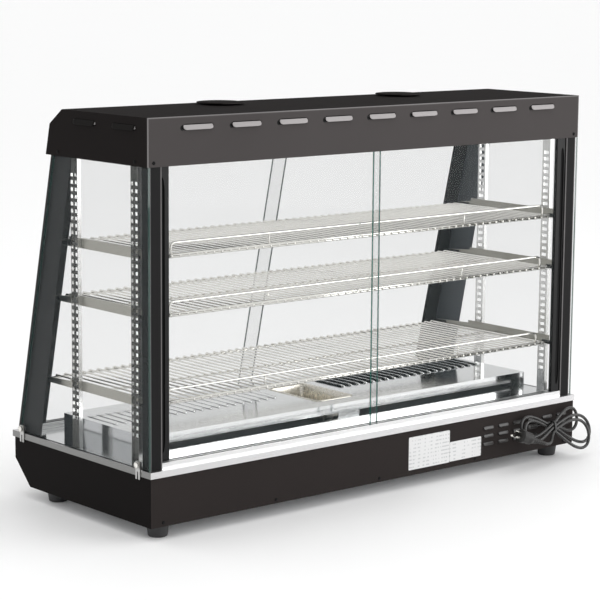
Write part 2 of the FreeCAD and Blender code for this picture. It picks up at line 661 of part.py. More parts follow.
def make_hood():
    body = profile_body("Hood", hood_profile("0", HOOD), width="2 * hood_half")
    inner = sketch_on(body, "YZ_Plane", "HoodInner")
    outline(inner, [(back(near), up) for near, up in hood_profile("wall", HOOD)])
    pocket(body, inner, "2 * (hood_half - wall)", "Hollow")
    height = f"({ROOF} - louvre_drop)"
    start = "(-(louvre_count - 1) / 2 * louvre_pitch)"
    louvre = sketch_on(body, "XZ_Plane", "HoodLouvre", "hood_rear - rear_y")
    rectangle(louvre, f"{start} - louvre_long / 2", f"{start} + louvre_long / 2",
              f"{height} - louvre_tall / 2", f"{height} + louvre_tall / 2")
    first = pocket(body, louvre, "wall * 4", "Louvre")
    repeat(body, first, louvre, "H_Axis", "(louvre_count - 1) * louvre_pitch", "louvre_count", "Louvres")
    sides = sketch_on(body, "YZ_Plane", "SideLouvres")
    for place in ("85", "217"):
        rectangle(sides, back(f"{place} + louvre_long / 2"), back(f"{place} - louvre_long / 2"),
                  f"{height} - louvre_tall / 2", f"{height} + louvre_tall / 2")
    pocket(body, sides, None, "SideLouvres")
    roof = sketch_on(body, "XY_Plane", "RoofHoles", ROOF)
    for side in (-1, 1):
        rectangle(roof, f"{side} * vent_x - 20", f"{side} * vent_x + 20", back("vent_depth + 20"),
                  back("vent_depth - 20"))
    body.Tip = pocket(body, roof, "wall * 4", "RoofHoles")
    keep("hood_shell", body)
    caps = []
    for side in (-1, 1):
        neck = rod("VentNeck", "vent_neck", "vent_rise", f"{side} * vent_x", "vent_depth", ROOF)
        cap = rod("VentCap", "vent_cap", "2.5", f"{side} * vent_x", "vent_depth",
                  f"{ROOF} + vent_rise - 2.5", top="vent_cap - 2")
        caps.append(join("Vent", [neck, cap]))
    keep("roof_vent_caps", group("VentCaps", caps))


def make_ceiling():
    plate = box("CeilingPlate", "-(hood_half - wall - 0.3)", "hood_half - wall - 0.3",
                "hood_rear + wall + 0.3", "hood_low_depth - wall - 5", CEILING, f"{CEILING} + 1.5")
    keep("hood_ceiling", plate)
    holders = []
    lamps = []
    for middle in (-270, 270):
        for end in (-1, 1):
            inner = middle + end * 140
            x0, x1 = (inner, inner + 14) if end == 1 else (inner - 14, inner)
            holders.append(box("Holder", str(x0), str(x1), "160", "184", f"{CEILING} - 28", CEILING))
        lamps.append(rod("Lamp", "8", "279.4", str(middle - 139.7), "172", f"{CEILING} - 18", V(1, 0, 0)))
    keep("lamp_holders", group("Holders", holders))
    keep("lamps", group("Lamps", lamps))


# ---------------------------------------------------------------- door tracks and doors

def track(name, edges, grooves, low, high, open_up):
    """A double track: a comb profile with two grooves, open upwards or downwards."""
    floor, mouth = (low, high) if open_up else (high, low)
    inside = f"({floor} + 3)" if open_up else f"({floor} - 2.5)"
    points = [(edges[0], floor), (edges[0], mouth)]
    for near, far in grooves:
        points += [(near, mouth), (near, inside), (far, inside), (far, mouth)]
    points += [(edges[1], mouth), (edges[1], floor)]
    half = "(pillar_outer - pillar_width - 0.3)"
    return profile_body(name, points, width=f"2 * {half}")


def make_tracks():
    rear = [("13", "20.5"), ("23.5", "31")]
    keep("rear_track_bottom", track("RearTrackLow", ("10", "34"), rear, DECK, f"({DECK} + track_tall)", True))
    keep("rear_track_top", track("RearTrackTop", ("10", "34"), rear, HOOD, CEILING, False))
    low = [("450.5", "459.5"), ("461.5", "470.5")]
    keep("front_track_bottom", track("FrontTrackLow", ("447", "474"), low,
                                     DECK, f"({DECK} + track_tall)", True))
    top = [("317", "326"), ("328", "337")]
    keep("front_track_top", track("FrontTrackTop", ("314.5", "339.5"), top, HOOD, CEILING, False))


def make_rear_door(word, side, lane):
    """An upright sliding pane and the black stile with a finger groove on its outer end."""
    middle = f"-{side} * door_overlap"
    end = f"{side} * (stile_outer - 14)"
    x0, x1 = (middle, end) if side == 1 else (end, middle)
    sill = f"{DECK} + door_sill"
    pane = box(f"RearPane{word}", x0, x1, f"{lane} - glass / 2", f"{lane} + glass / 2", sill,
               f"{CEILING} - 5")
    keep(f"rear_door_{word}", pane)
    x0, x1 = f"stile_outer - stile_width", "stile_outer"
    g0, g1 = "stile_outer - stile_width", "stile_outer - 13.5"
    f0, f1 = "stile_outer - 12", "stile_outer - 3"
    spans = [(a, b) if side == 1 else (f"-({b})", f"-({a})") for a, b in ((x0, x1), (g0, g1), (f0, f1))]
    low, high = f"{DECK} + track_tall + 0.6", f"{HOOD} - 0.6"
    stile = box(f"RearStile{word}", *spans[0],
                f"{lane} - stile_thick / 2", f"{lane} + stile_thick / 2", low, high)
    slot = box(f"StileSlot{word}", *spans[1],
               f"{lane} - glass / 2 - 0.2", f"{lane} + glass / 2 + 0.2", low, high)
    finger = box(f"StileFinger{word}", *spans[2], f"{lane} - stile_thick / 2", f"{lane} + 1",
                 f"{DECK} + 30", f"{HOOD} - 18")
    keep(f"rear_stile_{word}", cut(f"RearStileCut{word}", stile, [slot, finger]))


def slant(front_gap, up):
    """Distance forward of the slanted front plane, moved back by a gap, at a height above the deck."""
    return f"(slant_front_low - {front_gap} - ({up}) * {SLANT})"


def make_front_door(word, side, gap):
    """A slanted sliding pane and the black grip strip on its outer end."""
    half = "(glass / 2 / cos(atan(" + SLANT + ")))"
    low, high = "door_sill", "house_height + pillar_reach - 4"
    end = "(stile_outer - 10)"
    x0, x1 = ("-door_overlap", end) if side == 1 else (f"-{end}", "door_overlap")
    pane = profile_body(f"FrontPane{word}", [
        (f"{slant(gap, low)} - {half}", f"{DECK} + {low}"),
        (f"{slant(gap, high)} - {half}", f"{DECK} + {high}"),
        (f"{slant(gap, high)} + {half}", f"{DECK} + {high}"),
        (f"{slant(gap, low)} + {half}", f"{DECK} + {low}")], x0, x1)
    keep(f"front_door_{word}", pane)
    foot, head = "track_tall + 1", "house_height - 1"

    def strip(name, x_low, x_high, thick):
        return profile_body(name, [
            (f"{slant(gap, foot)} - {thick}", f"{DECK} + {foot}"),
            (f"{slant(gap, head)} - {thick}", f"{DECK} + {head}"),
            (f"{slant(gap, head)} + {thick}", f"{DECK} + {head}"),
            (f"{slant(gap, foot)} + {thick}", f"{DECK} + {foot}")], x_low, x_high)

    x0, x1 = ("stile_outer - 20", "stile_outer") if side == 1 else ("-stile_outer", "-(stile_outer - 20)")
    g0, g1 = "stile_outer - 20", "stile_outer - 9.5"
    if side == -1:
        g0, g1 = f"-({g1})", f"-({g0})"
    grip = strip(f"FrontGrip{word}", x0, x1, "4.6")
    slot = strip(f"FrontGripSlot{word}", g0, g1, "2.8")
    keep(f"front_grip_{word}", cut(f"FrontGripCut{word}", grip, [slot]))


# ---------------------------------------------------------------- mains cord

# The hank hangs close behind the base, nearly upright: y = HANK_Y - HANK_LEAN * z
HANK_Y = 292.0
HANK_LEAN = 0.2
TIE = (-507.0, 83.0)
GLAND = (-442.5, 88.0)
LEAD = [(-462, 258, 88), (-477, 260, 88.5), (-492, 266, 89.5), (-507, 270, 90.4)]
TAIL = [(-453, 302, 56), (-466, 302, 52), (-478, 299, 56), (-489, 291, 66.5), (-507, 280.7, 75.6)]
PLUG_TURN = 20.0
PLUG_ROLL = 25.0
PLUG_LONG = 84.0


def on_hank(x, z, out=0.0):
    return V(x, HANK_Y - HANK_LEAN * z + out, z)


def cord_path(points):
    """Straight runs joined by tangent arcs, each as large as its two runs allow."""
    points = [V(*p) for p in points]
    edges = []
    here = points[0]
    for before, corner, after in zip(points, points[1:], points[2:]):
        into = (corner - before).normalize()
        away = (after - corner).normalize()
        turn = into.getAngle(away)
        shorter = min((corner - before).Length, (after - corner).Length)
        trim = 0.45 * shorter
        radius = trim / math.tan(turn / 2)
        print(f"cord bend: radius {radius:.1f} mm, turn {math.degrees(turn):.0f} degrees")
        start = corner - into * trim
        end = corner + away * trim
        inward = (away - into).normalize()
        centre = corner + inward * (radius / math.cos(turn / 2))
        middle = centre - inward * radius
        edges.append(Part.LineSegment(here, start).toShape())
        edges.append(Part.Arc(start, middle, end).toShape())
        here = end
    edges.append(Part.LineSegment(here, points[-1]).toShape())
    length = sum(edge.Length for edge in edges)
    return Part.Wire(edges), length


def cord_tube(points):
    path, length = cord_path(points)
    start = V(*points[0])
    ahead = (V(*points[1]) - start).normalize()
    ring = Part.Wire([Part.Circle(start, ahead, DIM["cord_radius"]).toShape()])
    tube = path.makePipeShell([ring], True, False)
    expected = math.pi * DIM["cord_radius"] ** 2 * length
    print(f"cord tube: length {length:.1f} mm, volume {tube.Volume:.0f}, expected {expected:.0f}")
    return tube


def feature(name, shape):
    thing = doc.addObject("Part::Feature", name)
    thing.Shape = shape
    return thing


def lobe(x, z, half_x, half_z, turn, thick):
    """One flat oval end of the hank, thick along Y and centred on the hank's plane."""
    oval = Part.Ellipse(V(0, 0, 0), half_x, half_z)
    face = Part.Face(Part.Wire([oval.toShape()]))
    face.rotate(V(0, 0, 0), V(0, 0, 1), turn)
    solid = face.extrude(V(0, 0, thick))
    solid.translate(V(0, 0, -thick / 2))
    lean = math.degrees(math.atan(HANK_LEAN))
    solid.rotate(V(0, 0, 0), V(1, 0, 0), 90 + lean)
    solid.translate(on_hank(x, z))
    return solid


def make_cord():
    gx, gz = GLAND
    flange = rod("GlandFlange", "8", "5", f"{gx}", "0", f"{gz}", V(0, 1, 0))
    post = rod("GlandPost", "6.5", "8", f"{gx}", "-5", f"{gz}", V(0, 1, 0))
    boot = rod("GlandBoot", "5.8", "19.5", f"{gx}", "-8", f"{gz}", V(-1, 0, 0), top="4.6")
    tail = rod("GlandTail", "6", "14", f"{gx}", "14", f"{gz}", V(0, 1, 0))
    keep("cord_gland", join("Gland", [flange, post, boot, tail]))
    keep("cord_lead", feature("CordLead", cord_tube(LEAD)))
    keep("cord_tail", feature("CordTail", cord_tube(TAIL)))
    left = lobe(-458, 91, 52, 29, 8, 20)
    right = lobe(-567, 60, 69, 36, 21, 20)
    middle = Part.makeBox(60, 18, 24, V(-30, -9, -12))
    middle.rotate(V(0, 0, 0), V(1, 0, 0), math.degrees(math.atan(HANK_LEAN)))
    middle.translate(on_hank(*TIE))
    keep("cord_hank", feature("CordHank", left.fuse([right, middle]).removeSplitter()))
    tie = Part.makeBox(7, 22, 28, V(-3.5, -11, -14))
    tie = tie.cut(Part.makeBox(9, 18.6, 24.6, V(-4.5, -9.3, -12.3)))
    tie.rotate(V(0, 0, 0), V(1, 0, 0), math.degrees(math.atan(HANK_LEAN)))
    tie.translate(on_hank(TIE[0] + 4, TIE[1]))
    keep("cord_tie", feature("CordTie", tie))


def make_plug():
    """A moulded plug along X: two flat pins, a round one, body and tail, rolled and tipped down."""
    body = Part.makeCylinder(15, 26, V(0, 0, 0), V(-1, 0, 0))
    neck = Part.makeCone(15, 9, 14, V(-26, 0, 0), V(-1, 0, 0))
    sleeve = Part.makeCone(6.5, 4.6, PLUG_LONG - 40, V(-40, 0, 0), V(-1, 0, 0))
    solid = body.fuse([neck, sleeve])
    for z in (-6.35, 6.35):
        solid = solid.fuse(Part.makeBox(20, 6.4, 1.6, V(-2, -3.2, z - 0.8)))
    solid = solid.fuse(Part.makeCylinder(2.4, 22, V(-2, -11.9, 0), V(1, 0, 0)))
    solid.rotate(V(0, 0, 0), V(1, 0, 0), PLUG_ROLL)
    solid.rotate(V(0, 0, 0), V(0, 1, 0), -PLUG_TURN)
    rear = FreeCAD.Rotation(V(0, 1, 0), -PLUG_TURN).multVec(V(-PLUG_LONG, 0, 0))
    solid.translate(V(*TAIL[0]) - rear)
    keep("mains_plug", feature("MainsPlug", solid.removeSplitter()))


# ---------------------------------------------------------------- build, check and write

def build():
    make_sheet()
    make_base_shell()
    make_base_floor()
    make_trim()
    make_deck()
    make_heater_cover()
    make_water_pan()
    make_heating_element("right", 1)
    make_heating_element("left", -1)
    make_heat_shield()
    make_thermostat()
    make_thermometer()
    make_switch("heat", "heat_x")
    make_switch("light", "light_x")
    make_terminal_block()
    make_pillars()
    make_side_glass()
    make_glass_clips()
    for word, side in (("right", 1), ("left", -1)):
        make_pilaster(f"rear_{word}", side, "pilaster_rear")
        make_pilaster(f"front_{word}", side, "pilaster_front")
    make_brackets()
    for level in SHELVES:
        make_shelf(*level)
    make_hood()
    make_ceiling()
    make_tracks()
    make_rear_door("right", 1, "27.25")
    make_rear_door("left", -1, "16.75")
    make_front_door("right", 1, "20")
    make_front_door("left", -1, "9")
    make_cord()
    make_plug()
    doc.recompute()


def check():
    for thing in doc.Objects:
        if "Invalid" in thing.State or "Error" in thing.State:
            raise RuntimeError(f"{thing.Name} ({thing.Label}) failed: {thing.State}")
    for node, thing in PARTS.items():
        if thing.Shape.isNull() or not thing.Shape.isValid() or not thing.Shape.Solids:
            raise RuntimeError(f"{node} has no valid solid")


def write():
    os.makedirs("parts", exist_ok=True)
    for node, thing in PARTS.items():
        thing.Shape.exportStep(f"parts/{node}.step")
    print(f"{len(PARTS)} sub-parts written")


build()
check()
write()
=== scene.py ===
# %% [markdown]
# # A heated glass display case
#
# The case stands on a counter. Its base and hood are folded sheet steel with a black powder coat,
# the walls between them are glass, and three chromed wire shelves hang inside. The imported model
# gives every hard part its place, so each step here either gives a part a finish or puts a better
# surface where the plain solid was. Everything is in metres.

# %% Load the frame
import bpy
import math
import numpy as np
from mathutils import Matrix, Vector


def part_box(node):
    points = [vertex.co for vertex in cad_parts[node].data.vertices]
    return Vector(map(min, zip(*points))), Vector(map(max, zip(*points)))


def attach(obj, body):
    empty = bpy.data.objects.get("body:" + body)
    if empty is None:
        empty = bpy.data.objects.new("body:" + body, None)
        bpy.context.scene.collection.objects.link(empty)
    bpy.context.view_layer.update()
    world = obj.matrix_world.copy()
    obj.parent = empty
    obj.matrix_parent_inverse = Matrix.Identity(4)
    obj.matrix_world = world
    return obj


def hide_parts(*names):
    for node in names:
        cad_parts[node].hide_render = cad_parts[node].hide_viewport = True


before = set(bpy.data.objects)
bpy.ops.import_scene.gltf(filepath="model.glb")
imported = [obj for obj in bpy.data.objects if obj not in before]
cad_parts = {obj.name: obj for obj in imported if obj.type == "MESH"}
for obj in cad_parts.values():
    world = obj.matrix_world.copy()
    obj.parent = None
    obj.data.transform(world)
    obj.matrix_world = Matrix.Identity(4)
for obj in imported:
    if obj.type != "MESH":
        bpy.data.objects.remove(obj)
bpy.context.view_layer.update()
MM = 0.001
REAR = 0.250
CASE = "cabinet"

# %% [markdown]
# ## The camera
#
# The case is seen from the operator's side, from a little above, through a long lens, which keeps
# the upright edges almost parallel. The place is a distance along a line of sight that is turned
# by an azimuth and raised by an elevation. A camera could also be aimed with a Track To constraint,
# but a plain matrix stays where it is put.

# %% Place the camera
def add_to_scene(name, data):
    """A new object, linked into the scene."""
    thing = bpy.data.objects.new(name, data)
    bpy.context.collection.objects.link(thing)
    return thing


def aim(thing, right, up, back, where):
    """Turn a thing until its own X, Y and Z point right, up and back, and put it somewhere."""
    place = np.eye(4)
    place[:3] = np.stack([right, up, back, where], 1)
    thing.matrix_world = Matrix(place.tolist())


LOOK_AT = np.array([0.01485, 0.00273, 0.38865])
AZIMUTH, ELEVATION, ROLL = (math.radians(a) for a in (139.57, 9.22, 0.46))
DISTANCE = 4.603
LENS, SENSOR = 126.9, 36
toward = np.array([math.sin(AZIMUTH) * math.cos(ELEVATION),
                   -math.cos(AZIMUTH) * math.cos(ELEVATION), math.sin(ELEVATION)])
level_right = np.cross(-toward, [0, 0, 1])
level_right /= np.linalg.norm(level_right)
level_up = np.cross(level_right, -toward)
right = math.cos(ROLL) * level_right + math.sin(ROLL) * level_up
up = math.cos(ROLL) * level_up - math.sin(ROLL) * level_right
camera = add_to_scene("camera", bpy.data.cameras.new("camera"))
aim(camera, right, up, toward, LOOK_AT + toward * DISTANCE)
camera.data.lens, camera.data.sensor_width = LENS, SENSOR
camera.data.clip_end = 200
bpy.context.scene.camera = camera
print("camera at", np.round(LOOK_AT + toward * DISTANCE, 3))

# %% [markdown]
# ## Grids, paths and profiles
#
# Most new pieces are a grid of points worked out by a formula: two parameters give a point, and
# neighbouring points give a face. Blender could spin or extrude the same shapes, but a formula
# keeps every size in one place and makes hundreds of wires as one array.

# %% Turn grids of points into pieces
def grid_faces(rows, cols, close_rows=False, close_cols=False):
    """Corner numbers of the faces between neighbouring points of a rows x cols grid."""
    i = np.arange(rows if close_rows else rows - 1)
    j = np.arange(cols if close_cols else cols - 1)
    i, j = np.meshgrid(i, j, indexing="ij")
    here, along = i * cols + j, i * cols + (j + 1) % cols
    below, across = ((i + 1) % rows) * cols + j, ((i + 1) % rows) * cols + (j + 1) % cols
    return np.stack([here, along, across, below], -1).reshape(-1, 4)


def tube_faces(rows, cols):
    """Faces of a stack of closed rings, with a cap on the first and on the last."""
    last = (rows - 1) * cols
    return [tuple(f) for f in grid_faces(rows, cols, close_cols=True)] + [
        tuple(range(cols))[::-1], tuple(range(last, last + cols))]


def piece(name, points, faces, finish, body=CASE, smooth=True, repair=False):
    """A named object from points and faces that rides on a body and wears a finish."""
    mesh = bpy.data.meshes.new(name)
    mesh.from_pydata(np.asarray(points, float).reshape(-1, 3).tolist(), [],
                     [list(map(int, f)) for f in faces])
    mesh.update()
    if repair:
        import bmesh
        work = bmesh.new()
        work.from_mesh(mesh)
        bmesh.ops.remove_doubles(work, verts=work.verts, dist=1e-6)
        bmesh.ops.recalc_face_normals(work, faces=work.faces)
        work.to_mesh(mesh)
        work.free()
    mesh.polygons.foreach_set("use_smooth", np.full(len(mesh.polygons), smooth))
    thing = add_to_scene(name, mesh)
    mesh.materials.append(finish)
    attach(thing, body)
    return thing


def gather(parts):
    """Join several (points, faces) pairs into one pair."""
    points, faces, start = [], [], 0
    for p, f in parts:
        p = np.asarray(p, float).reshape(-1, 3)
        points.append(p)
        faces += [tuple(int(c) + start for c in face) for face in f]
        start += len(p)
    return np.concatenate(points), faces


def soften(thing, width, steps=2, angle=40):
    """Round the sharp edges of a piece with a Bevel modifier."""
    bevel = thing.modifiers.new("rounded edges", "BEVEL")
    bevel.width = width
    bevel.segments = steps
    bevel.limit_method = "ANGLE"
    bevel.angle_limit = math.radians(angle)
    return thing


def block(low, high):
    """Points and faces of a block between two corners."""
    x, y, z = np.meshgrid(*zip(low, high), indexing="ij")
    points = np.stack([x, y, z], -1).reshape(-1, 3)
    return points, [(0, 1, 3, 2), (4, 6, 7, 5), (0, 4, 5, 1), (2, 3, 7, 6), (0, 2, 6, 4), (1, 5, 7, 3)]


def rounded_path(corners, radius, steps=6):
    """A line through the corners with every inner corner replaced by an arc, as rows of points."""
    corners = np.asarray(corners, float)
    path = [corners[0]]
    for before, corner, after in zip(corners, corners[1:], corners[2:]):
        a, b = before - corner, after - corner
        cut = min(radius, 0.45 * np.linalg.norm(a), 0.45 * np.linalg.norm(b))
        a, b = a / np.linalg.norm(a) * cut, b / np.linalg.norm(b) * cut
        t = np.linspace(0, 1, steps)[:, None]
        path += list(corner + a * (1 - t) ** 2 + b * t ** 2)
    path.append(corners[-1])
    return np.array(path)


def tube(path, radius, across, sides=10):
    """A round bar along a flat path: ring k is path k plus cos and sin of the angle, times the
    radius, along the path plane's normal (across) and along the in-plane normal."""
    path = np.asarray(path, float)
    along = np.gradient(path, axis=0)
    along /= np.linalg.norm(along, axis=1)[:, None]
    across = np.asarray(across, float)
    side = np.cross(along, across)
    angle = np.linspace(0, 2 * np.pi, sides, endpoint=False)
    radius = np.broadcast_to(radius, len(path))[:, None, None]
    ring = (np.cos(angle)[None, :, None] * across + np.sin(angle)[None, :, None] * side[:, None, :])
    points = path[:, None, :] + radius * ring
    return points.reshape(-1, 3), tube_faces(len(path), sides)


def lathe(profile, origin, axis, turns=32):
    """A profile of (radius, height) pairs turned about an axis that starts at origin."""
    axis = np.asarray(axis, float)
    first = np.cross(axis, [0.0, 0.0, 1.0] if abs(axis[2]) < 0.9 else [1.0, 0.0, 0.0])
    first /= np.linalg.norm(first)
    second = np.cross(axis, first)
    angle = np.linspace(0, 2 * np.pi, turns, endpoint=False)
    radius, height = (np.array(c, float)[:, None, None] for c in zip(*profile))
    ring = np.cos(angle)[:, None] * first + np.sin(angle)[:, None] * second
    points = np.asarray(origin, float) + height * axis + radius * ring
    return points.reshape(-1, 3), tube_faces(len(profile), turns)


print("helpers ready:", grid_faces(3, 3).shape, "faces in a 3 x 3 grid")

# %% [markdown]
# ## Finishes
#
# A finish is a tree of shader nodes. Adding and wiring nodes one at a time is long, so a small
# class wraps a socket and lets Python's own operators add the Math nodes, and another class makes
# any node from its type, its settings and its inputs.

# %% Wrap sockets and nodes
class Value:
    """A number that varies over a surface; + - * / and the helpers below add Math nodes."""

    def __init__(self, finish, socket):
        self.finish = finish
        self.socket = socket

    def maths(self, operation, *others, first=None):
        inputs = list(others) if first is None else [first]
        ordered = [self, *inputs] if first is None else [*inputs, self]
        return self.finish.node("ShaderNodeMath", dict(enumerate(ordered)), operation=operation)

    def __add__(self, other): return self.maths("ADD", other)
    def __sub__(self, other): return self.maths("SUBTRACT", other)
    def __mul__(self, other): return self.maths("MULTIPLY", other)
    def __truediv__(self, other): return self.maths("DIVIDE", other)
    def __rsub__(self, other): return self.maths("SUBTRACT", first=other)
    __radd__, __rmul__ = __add__, __mul__

    def size(self): return self.maths("ABSOLUTE")
    def above(self, edge): return self.maths("GREATER_THAN", edge)
    def highest(self, other): return self.maths("MAXIMUM", other)
    def lowest(self, other): return self.maths("MINIMUM", other)

    def near(self, place, width):
        """1 at a place, falling to 0 at a distance of width."""
        return (1 - (self - place).size() / width).highest(0)


class Finish:
    """One material: a Principled shader whose constants are set by name, plus any other nodes."""

    def __init__(self, name, **constants):
        self.material = bpy.data.materials.new(name)
        self.material.use_nodes = True
        self.tree = self.material.node_tree
        self.surface = self.tree.nodes["Principled BSDF"]
        for key, value in constants.items():
            self.put(key.replace("_", " ").title().replace("Ior", "IOR"), value)

    def put(self, socket, value):
        self.join(value, self.surface.inputs[socket])

    def join(self, value, socket):
        if isinstance(value, Value):
            self.tree.links.new(value.socket, socket)
        elif hasattr(socket.default_value, "__len__") and len(value) == 3:
            socket.default_value = (*value, 1) if len(socket.default_value) == 4 else value
        else:
            socket.default_value = value

    def node(self, kind, inputs=None, out=0, **settings):
        made = self.tree.nodes.new(kind)
        for key, value in settings.items():
            setattr(made, key, value)
        for key, value in (inputs or {}).items():
            self.join(value, made.inputs[key])
        return Value(self, made.outputs[out])

    def places(self):
        """The object's own X, Y and Z in metres."""
        coords = self.node("ShaderNodeTexCoord", out="Object")
        apart = self.node("ShaderNodeSeparateXYZ", {0: coords})
        outputs = apart.socket.node.outputs
        return coords, *(Value(self, outputs[i]) for i in range(3))

    def facing(self, way):
        """1 where the surface looks along a direction, 0 across it and -1 against it."""
        normal = self.node("ShaderNodeTexCoord", out="Normal")
        return self.node("ShaderNodeVectorMath", {0: normal, 1: way}, out="Value",
                         operation="DOT_PRODUCT")

    def noise(self, coords, scale, detail=3, stretch=(1, 1, 1)):
        """Cloudy noise; stretch above 1 makes it finer along that axis."""
        moved = self.node("ShaderNodeMapping", {"Vector": coords, "Scale": stretch})
        return self.node("ShaderNodeTexNoise", {"Vector": moved, "Scale": scale, "Detail": detail})

    def blend(self, mask, low, high):
        """A colour that goes from low to high as the mask goes from 0 to 1."""
        return self.node("ShaderNodeMix", {0: mask, 6: low, 7: high}, out=2, data_type="RGBA")

    def bump(self, height, strength, distance):
        self.put("Normal", self.node("ShaderNodeBump", {
            "Height": height, "Strength": strength, "Distance": distance}))


print("wrappers ready")

# %% [markdown]
# ### Powder coat
#
# Powder is baked on as a thin skin. It has a fine dimpled grain and is duller on top, where dust
# settles.
# Its folded edges get a painted highlight, a lighter line that also stands for powder worn thin there.
# Faces that look rearwards are painted lighter, as painted light from behind, and on the front pillars
# the faces that look to the middle get a painted streaky reflection. The grain is one fine noise in the
# bump, and the edges are found from their places on the object.

# %% Make the powder coats
def powder_coat(name, colour, edges=(), gloss=0.42, shine=0.12, rear=None, inner=None):
    """edges is a list of (axis number, place of |coordinate|, other axis number, its place);
    rear is a painted lighter colour for the faces that look rearwards, where the light falls from
    behind, and inner a painted streaky reflection on those that look to the middle of the object."""
    f = Finish(name, specular_ior_level=shine)
    coords, *xyz = f.places()
    cloud = f.noise(coords, 4.0, 5)
    grain = f.noise(coords, 900, 2)
    light = tuple(c * 1.3 + 0.002 for c in colour)
    tint = f.blend(cloud, colour, light)
    # Painted light: faces that look rearwards get a lighter colour, as the light falls from behind.
    if rear is not None:
        thin = f.blend(cloud, rear, tuple(c * 1.25 for c in rear))
        tint = f.blend(f.facing((0, 1, 0)).above(0.8), tint, thin)
    # Painted reflection: faces that look to the middle get lighter blue-grey streaks.
    if inner is not None:
        inward = f.facing((1, 0, 0)) * (1 - xyz[0].above(0) * 2)
        reflection_streaks = f.noise(coords, 1.0, 3, (90, 90, 2))
        streaked_reflection = f.blend(reflection_streaks, tuple(c * 0.6 for c in inner), inner)
        tint = f.blend(inward.above(0.6), tint, streaked_reflection)
    # Painted highlight along the folded edges, which also stands for powder worn thin there.
    edge_highlight_and_wear = None
    for a, place_a, b, place_b in edges:
        mask = xyz[a].size().near(place_a, 0.0030) * xyz[b].near(place_b, 0.0030)
        edge_highlight_and_wear = mask if edge_highlight_and_wear is None else edge_highlight_and_wear.highest(mask)
    if edge_highlight_and_wear is not None:
        tint = f.blend(edge_highlight_and_wear * (0.6 + 0.5 * cloud), tint, (0.26, 0.25, 0.25))
    f.put("Base Color", tint)
    f.put("Roughness", gloss + 0.14 * cloud + 0.3 * f.facing((0, 0, 1)).above(0.8))
    f.bump(grain, 0.25, 0.00006)
    return f.material


HOOD_TOP, HOOD_REAR, HOOD_HALF = 0.824, 0.242, 0.599
# The last colour given to the hood, base and pillar coats is painted light on their rear-facing faces;
# the listed edges get a painted highlight, and the front pillars' inner colour is a painted reflection.
hood_coat = powder_coat("hood powder coat", (0.0075, 0.0060, 0.0058), [
    (0, HOOD_HALF, 1, HOOD_REAR), (2, HOOD_TOP, 1, HOOD_REAR)], 0.5, 0.035, (0.0545, 0.0495, 0.0490))
base_coat = powder_coat("base powder coat", (0.0040, 0.0030, 0.0028), (), 0.52, 0.05,
                        (0.0215, 0.0178, 0.0170))
pillar_coat = powder_coat("pillar powder coat", (0.0070, 0.0072, 0.0074), [
    (0, 0.5935, 1, 0.240), (0, 0.5655, 1, 0.240)], 0.38, 0.045, (0.0125, 0.0122, 0.0125))
front_pillar_coat = powder_coat("front pillar powder coat", (0.0090, 0.0088, 0.0092), gloss=0.34,
                                shine=0.14, inner=(0.115, 0.125, 0.140))
print("powder coats:", hood_coat.name, base_coat.name, pillar_coat.name)

# %% [markdown]
# ### Bare metals
#
# Rolled stainless sheet shows a faint grain along the rolling direction: noise squeezed across the
# grain changes the roughness and dents the normal a little. Chromed wire has no grain, only faint
# smears. Both are fully metallic, so their colour is the colour of their reflections. Some faces that
# look sideways get a darker colour, which is painted shade.

# %% Make the metals
def rolled_metal(name, colour, rough, spread, grain, smear=0.05, ends=None, outer=False):
    """grain is the stretch of the noise, large across the rolling direction; ends is a darker colour
    painted as shade on faces that look sideways, and with outer only on those that look away from the
    middle of the object."""
    f = Finish(name, metallic=1.0)
    coords, x, *_ = f.places()
    lines = f.noise(coords, 1.0, 4, grain)
    cloud = f.noise(coords, 9.0, 4)
    dark = tuple(c * 0.86 for c in colour)
    tint = f.blend(lines * 0.6 + cloud * 0.4, dark, colour)
    # Painted shade: faces that look sideways get the darker ends colour.
    if ends is not None:
        facing = f.facing((1, 0, 0))
        turned = facing * (x.above(0) * 2 - 1) if outer else facing.size()
        tint = f.blend(turned.above(0.6), tint, ends)
    f.put("Base Color", tint)
    f.put("Roughness", rough + spread * lines + smear * cloud)
    f.bump(lines, 0.03, 0.00004)
    return f.material


# The ends colours below are painted shade on faces that look sideways.
polished_sheet = rolled_metal("polished stainless", (0.88, 0.89, 0.89), 0.05, 0.07, (6, 700, 700),
                              ends=(0.52, 0.53, 0.54))
trim_steel = rolled_metal("satin trim steel", (0.62, 0.615, 0.62), 0.20, 0.12, (5, 900, 900),
                          ends=(0.24, 0.24, 0.235))
bracket_steel = rolled_metal("satin bracket steel", (0.42, 0.41, 0.37), 0.24, 0.14, (900, 5, 900))
zinc_sheet = rolled_metal("zinc sheet", (0.55, 0.56, 0.57), 0.35, 0.15, (60, 60, 60), 0.12)
chrome = rolled_metal("wire chrome", (0.90, 0.885, 0.84), 0.10, 0.05, (300, 300, 300), 0.04)
clip_metal = rolled_metal("clip metal", (0.55, 0.55, 0.54), 0.22, 0.10, (200, 200, 200), 0.05)
slotted_chrome = rolled_metal("pilaster chrome", (0.62, 0.62, 0.61), 0.16, 0.10, (900, 900, 5),
                              ends=(0.15, 0.15, 0.145), outer=True)
track_metal = rolled_metal("track aluminium", (0.70, 0.70, 0.70), 0.20, 0.10, (4, 900, 900))
element_metal = rolled_metal("heating tube", (0.30, 0.27, 0.25), 0.38, 0.12, (80, 80, 80), 0.1)
print("metals:", polished_sheet.name, trim_steel.name, chrome.name)

# %% [markdown]
# ### Glass
#
# A flat pane is almost invisible where one looks through it and deep green where one looks into its
# edge, because there the light passes through many centimetres of glass. The face of the pane is
# the side whose normal points along its thin direction, so the normal itself tells the two apart.
# Full refraction is possible, but a thin clear coat over a mostly transparent sheet looks the same
# on a flat pane, and lets the daylight reach the shelves.

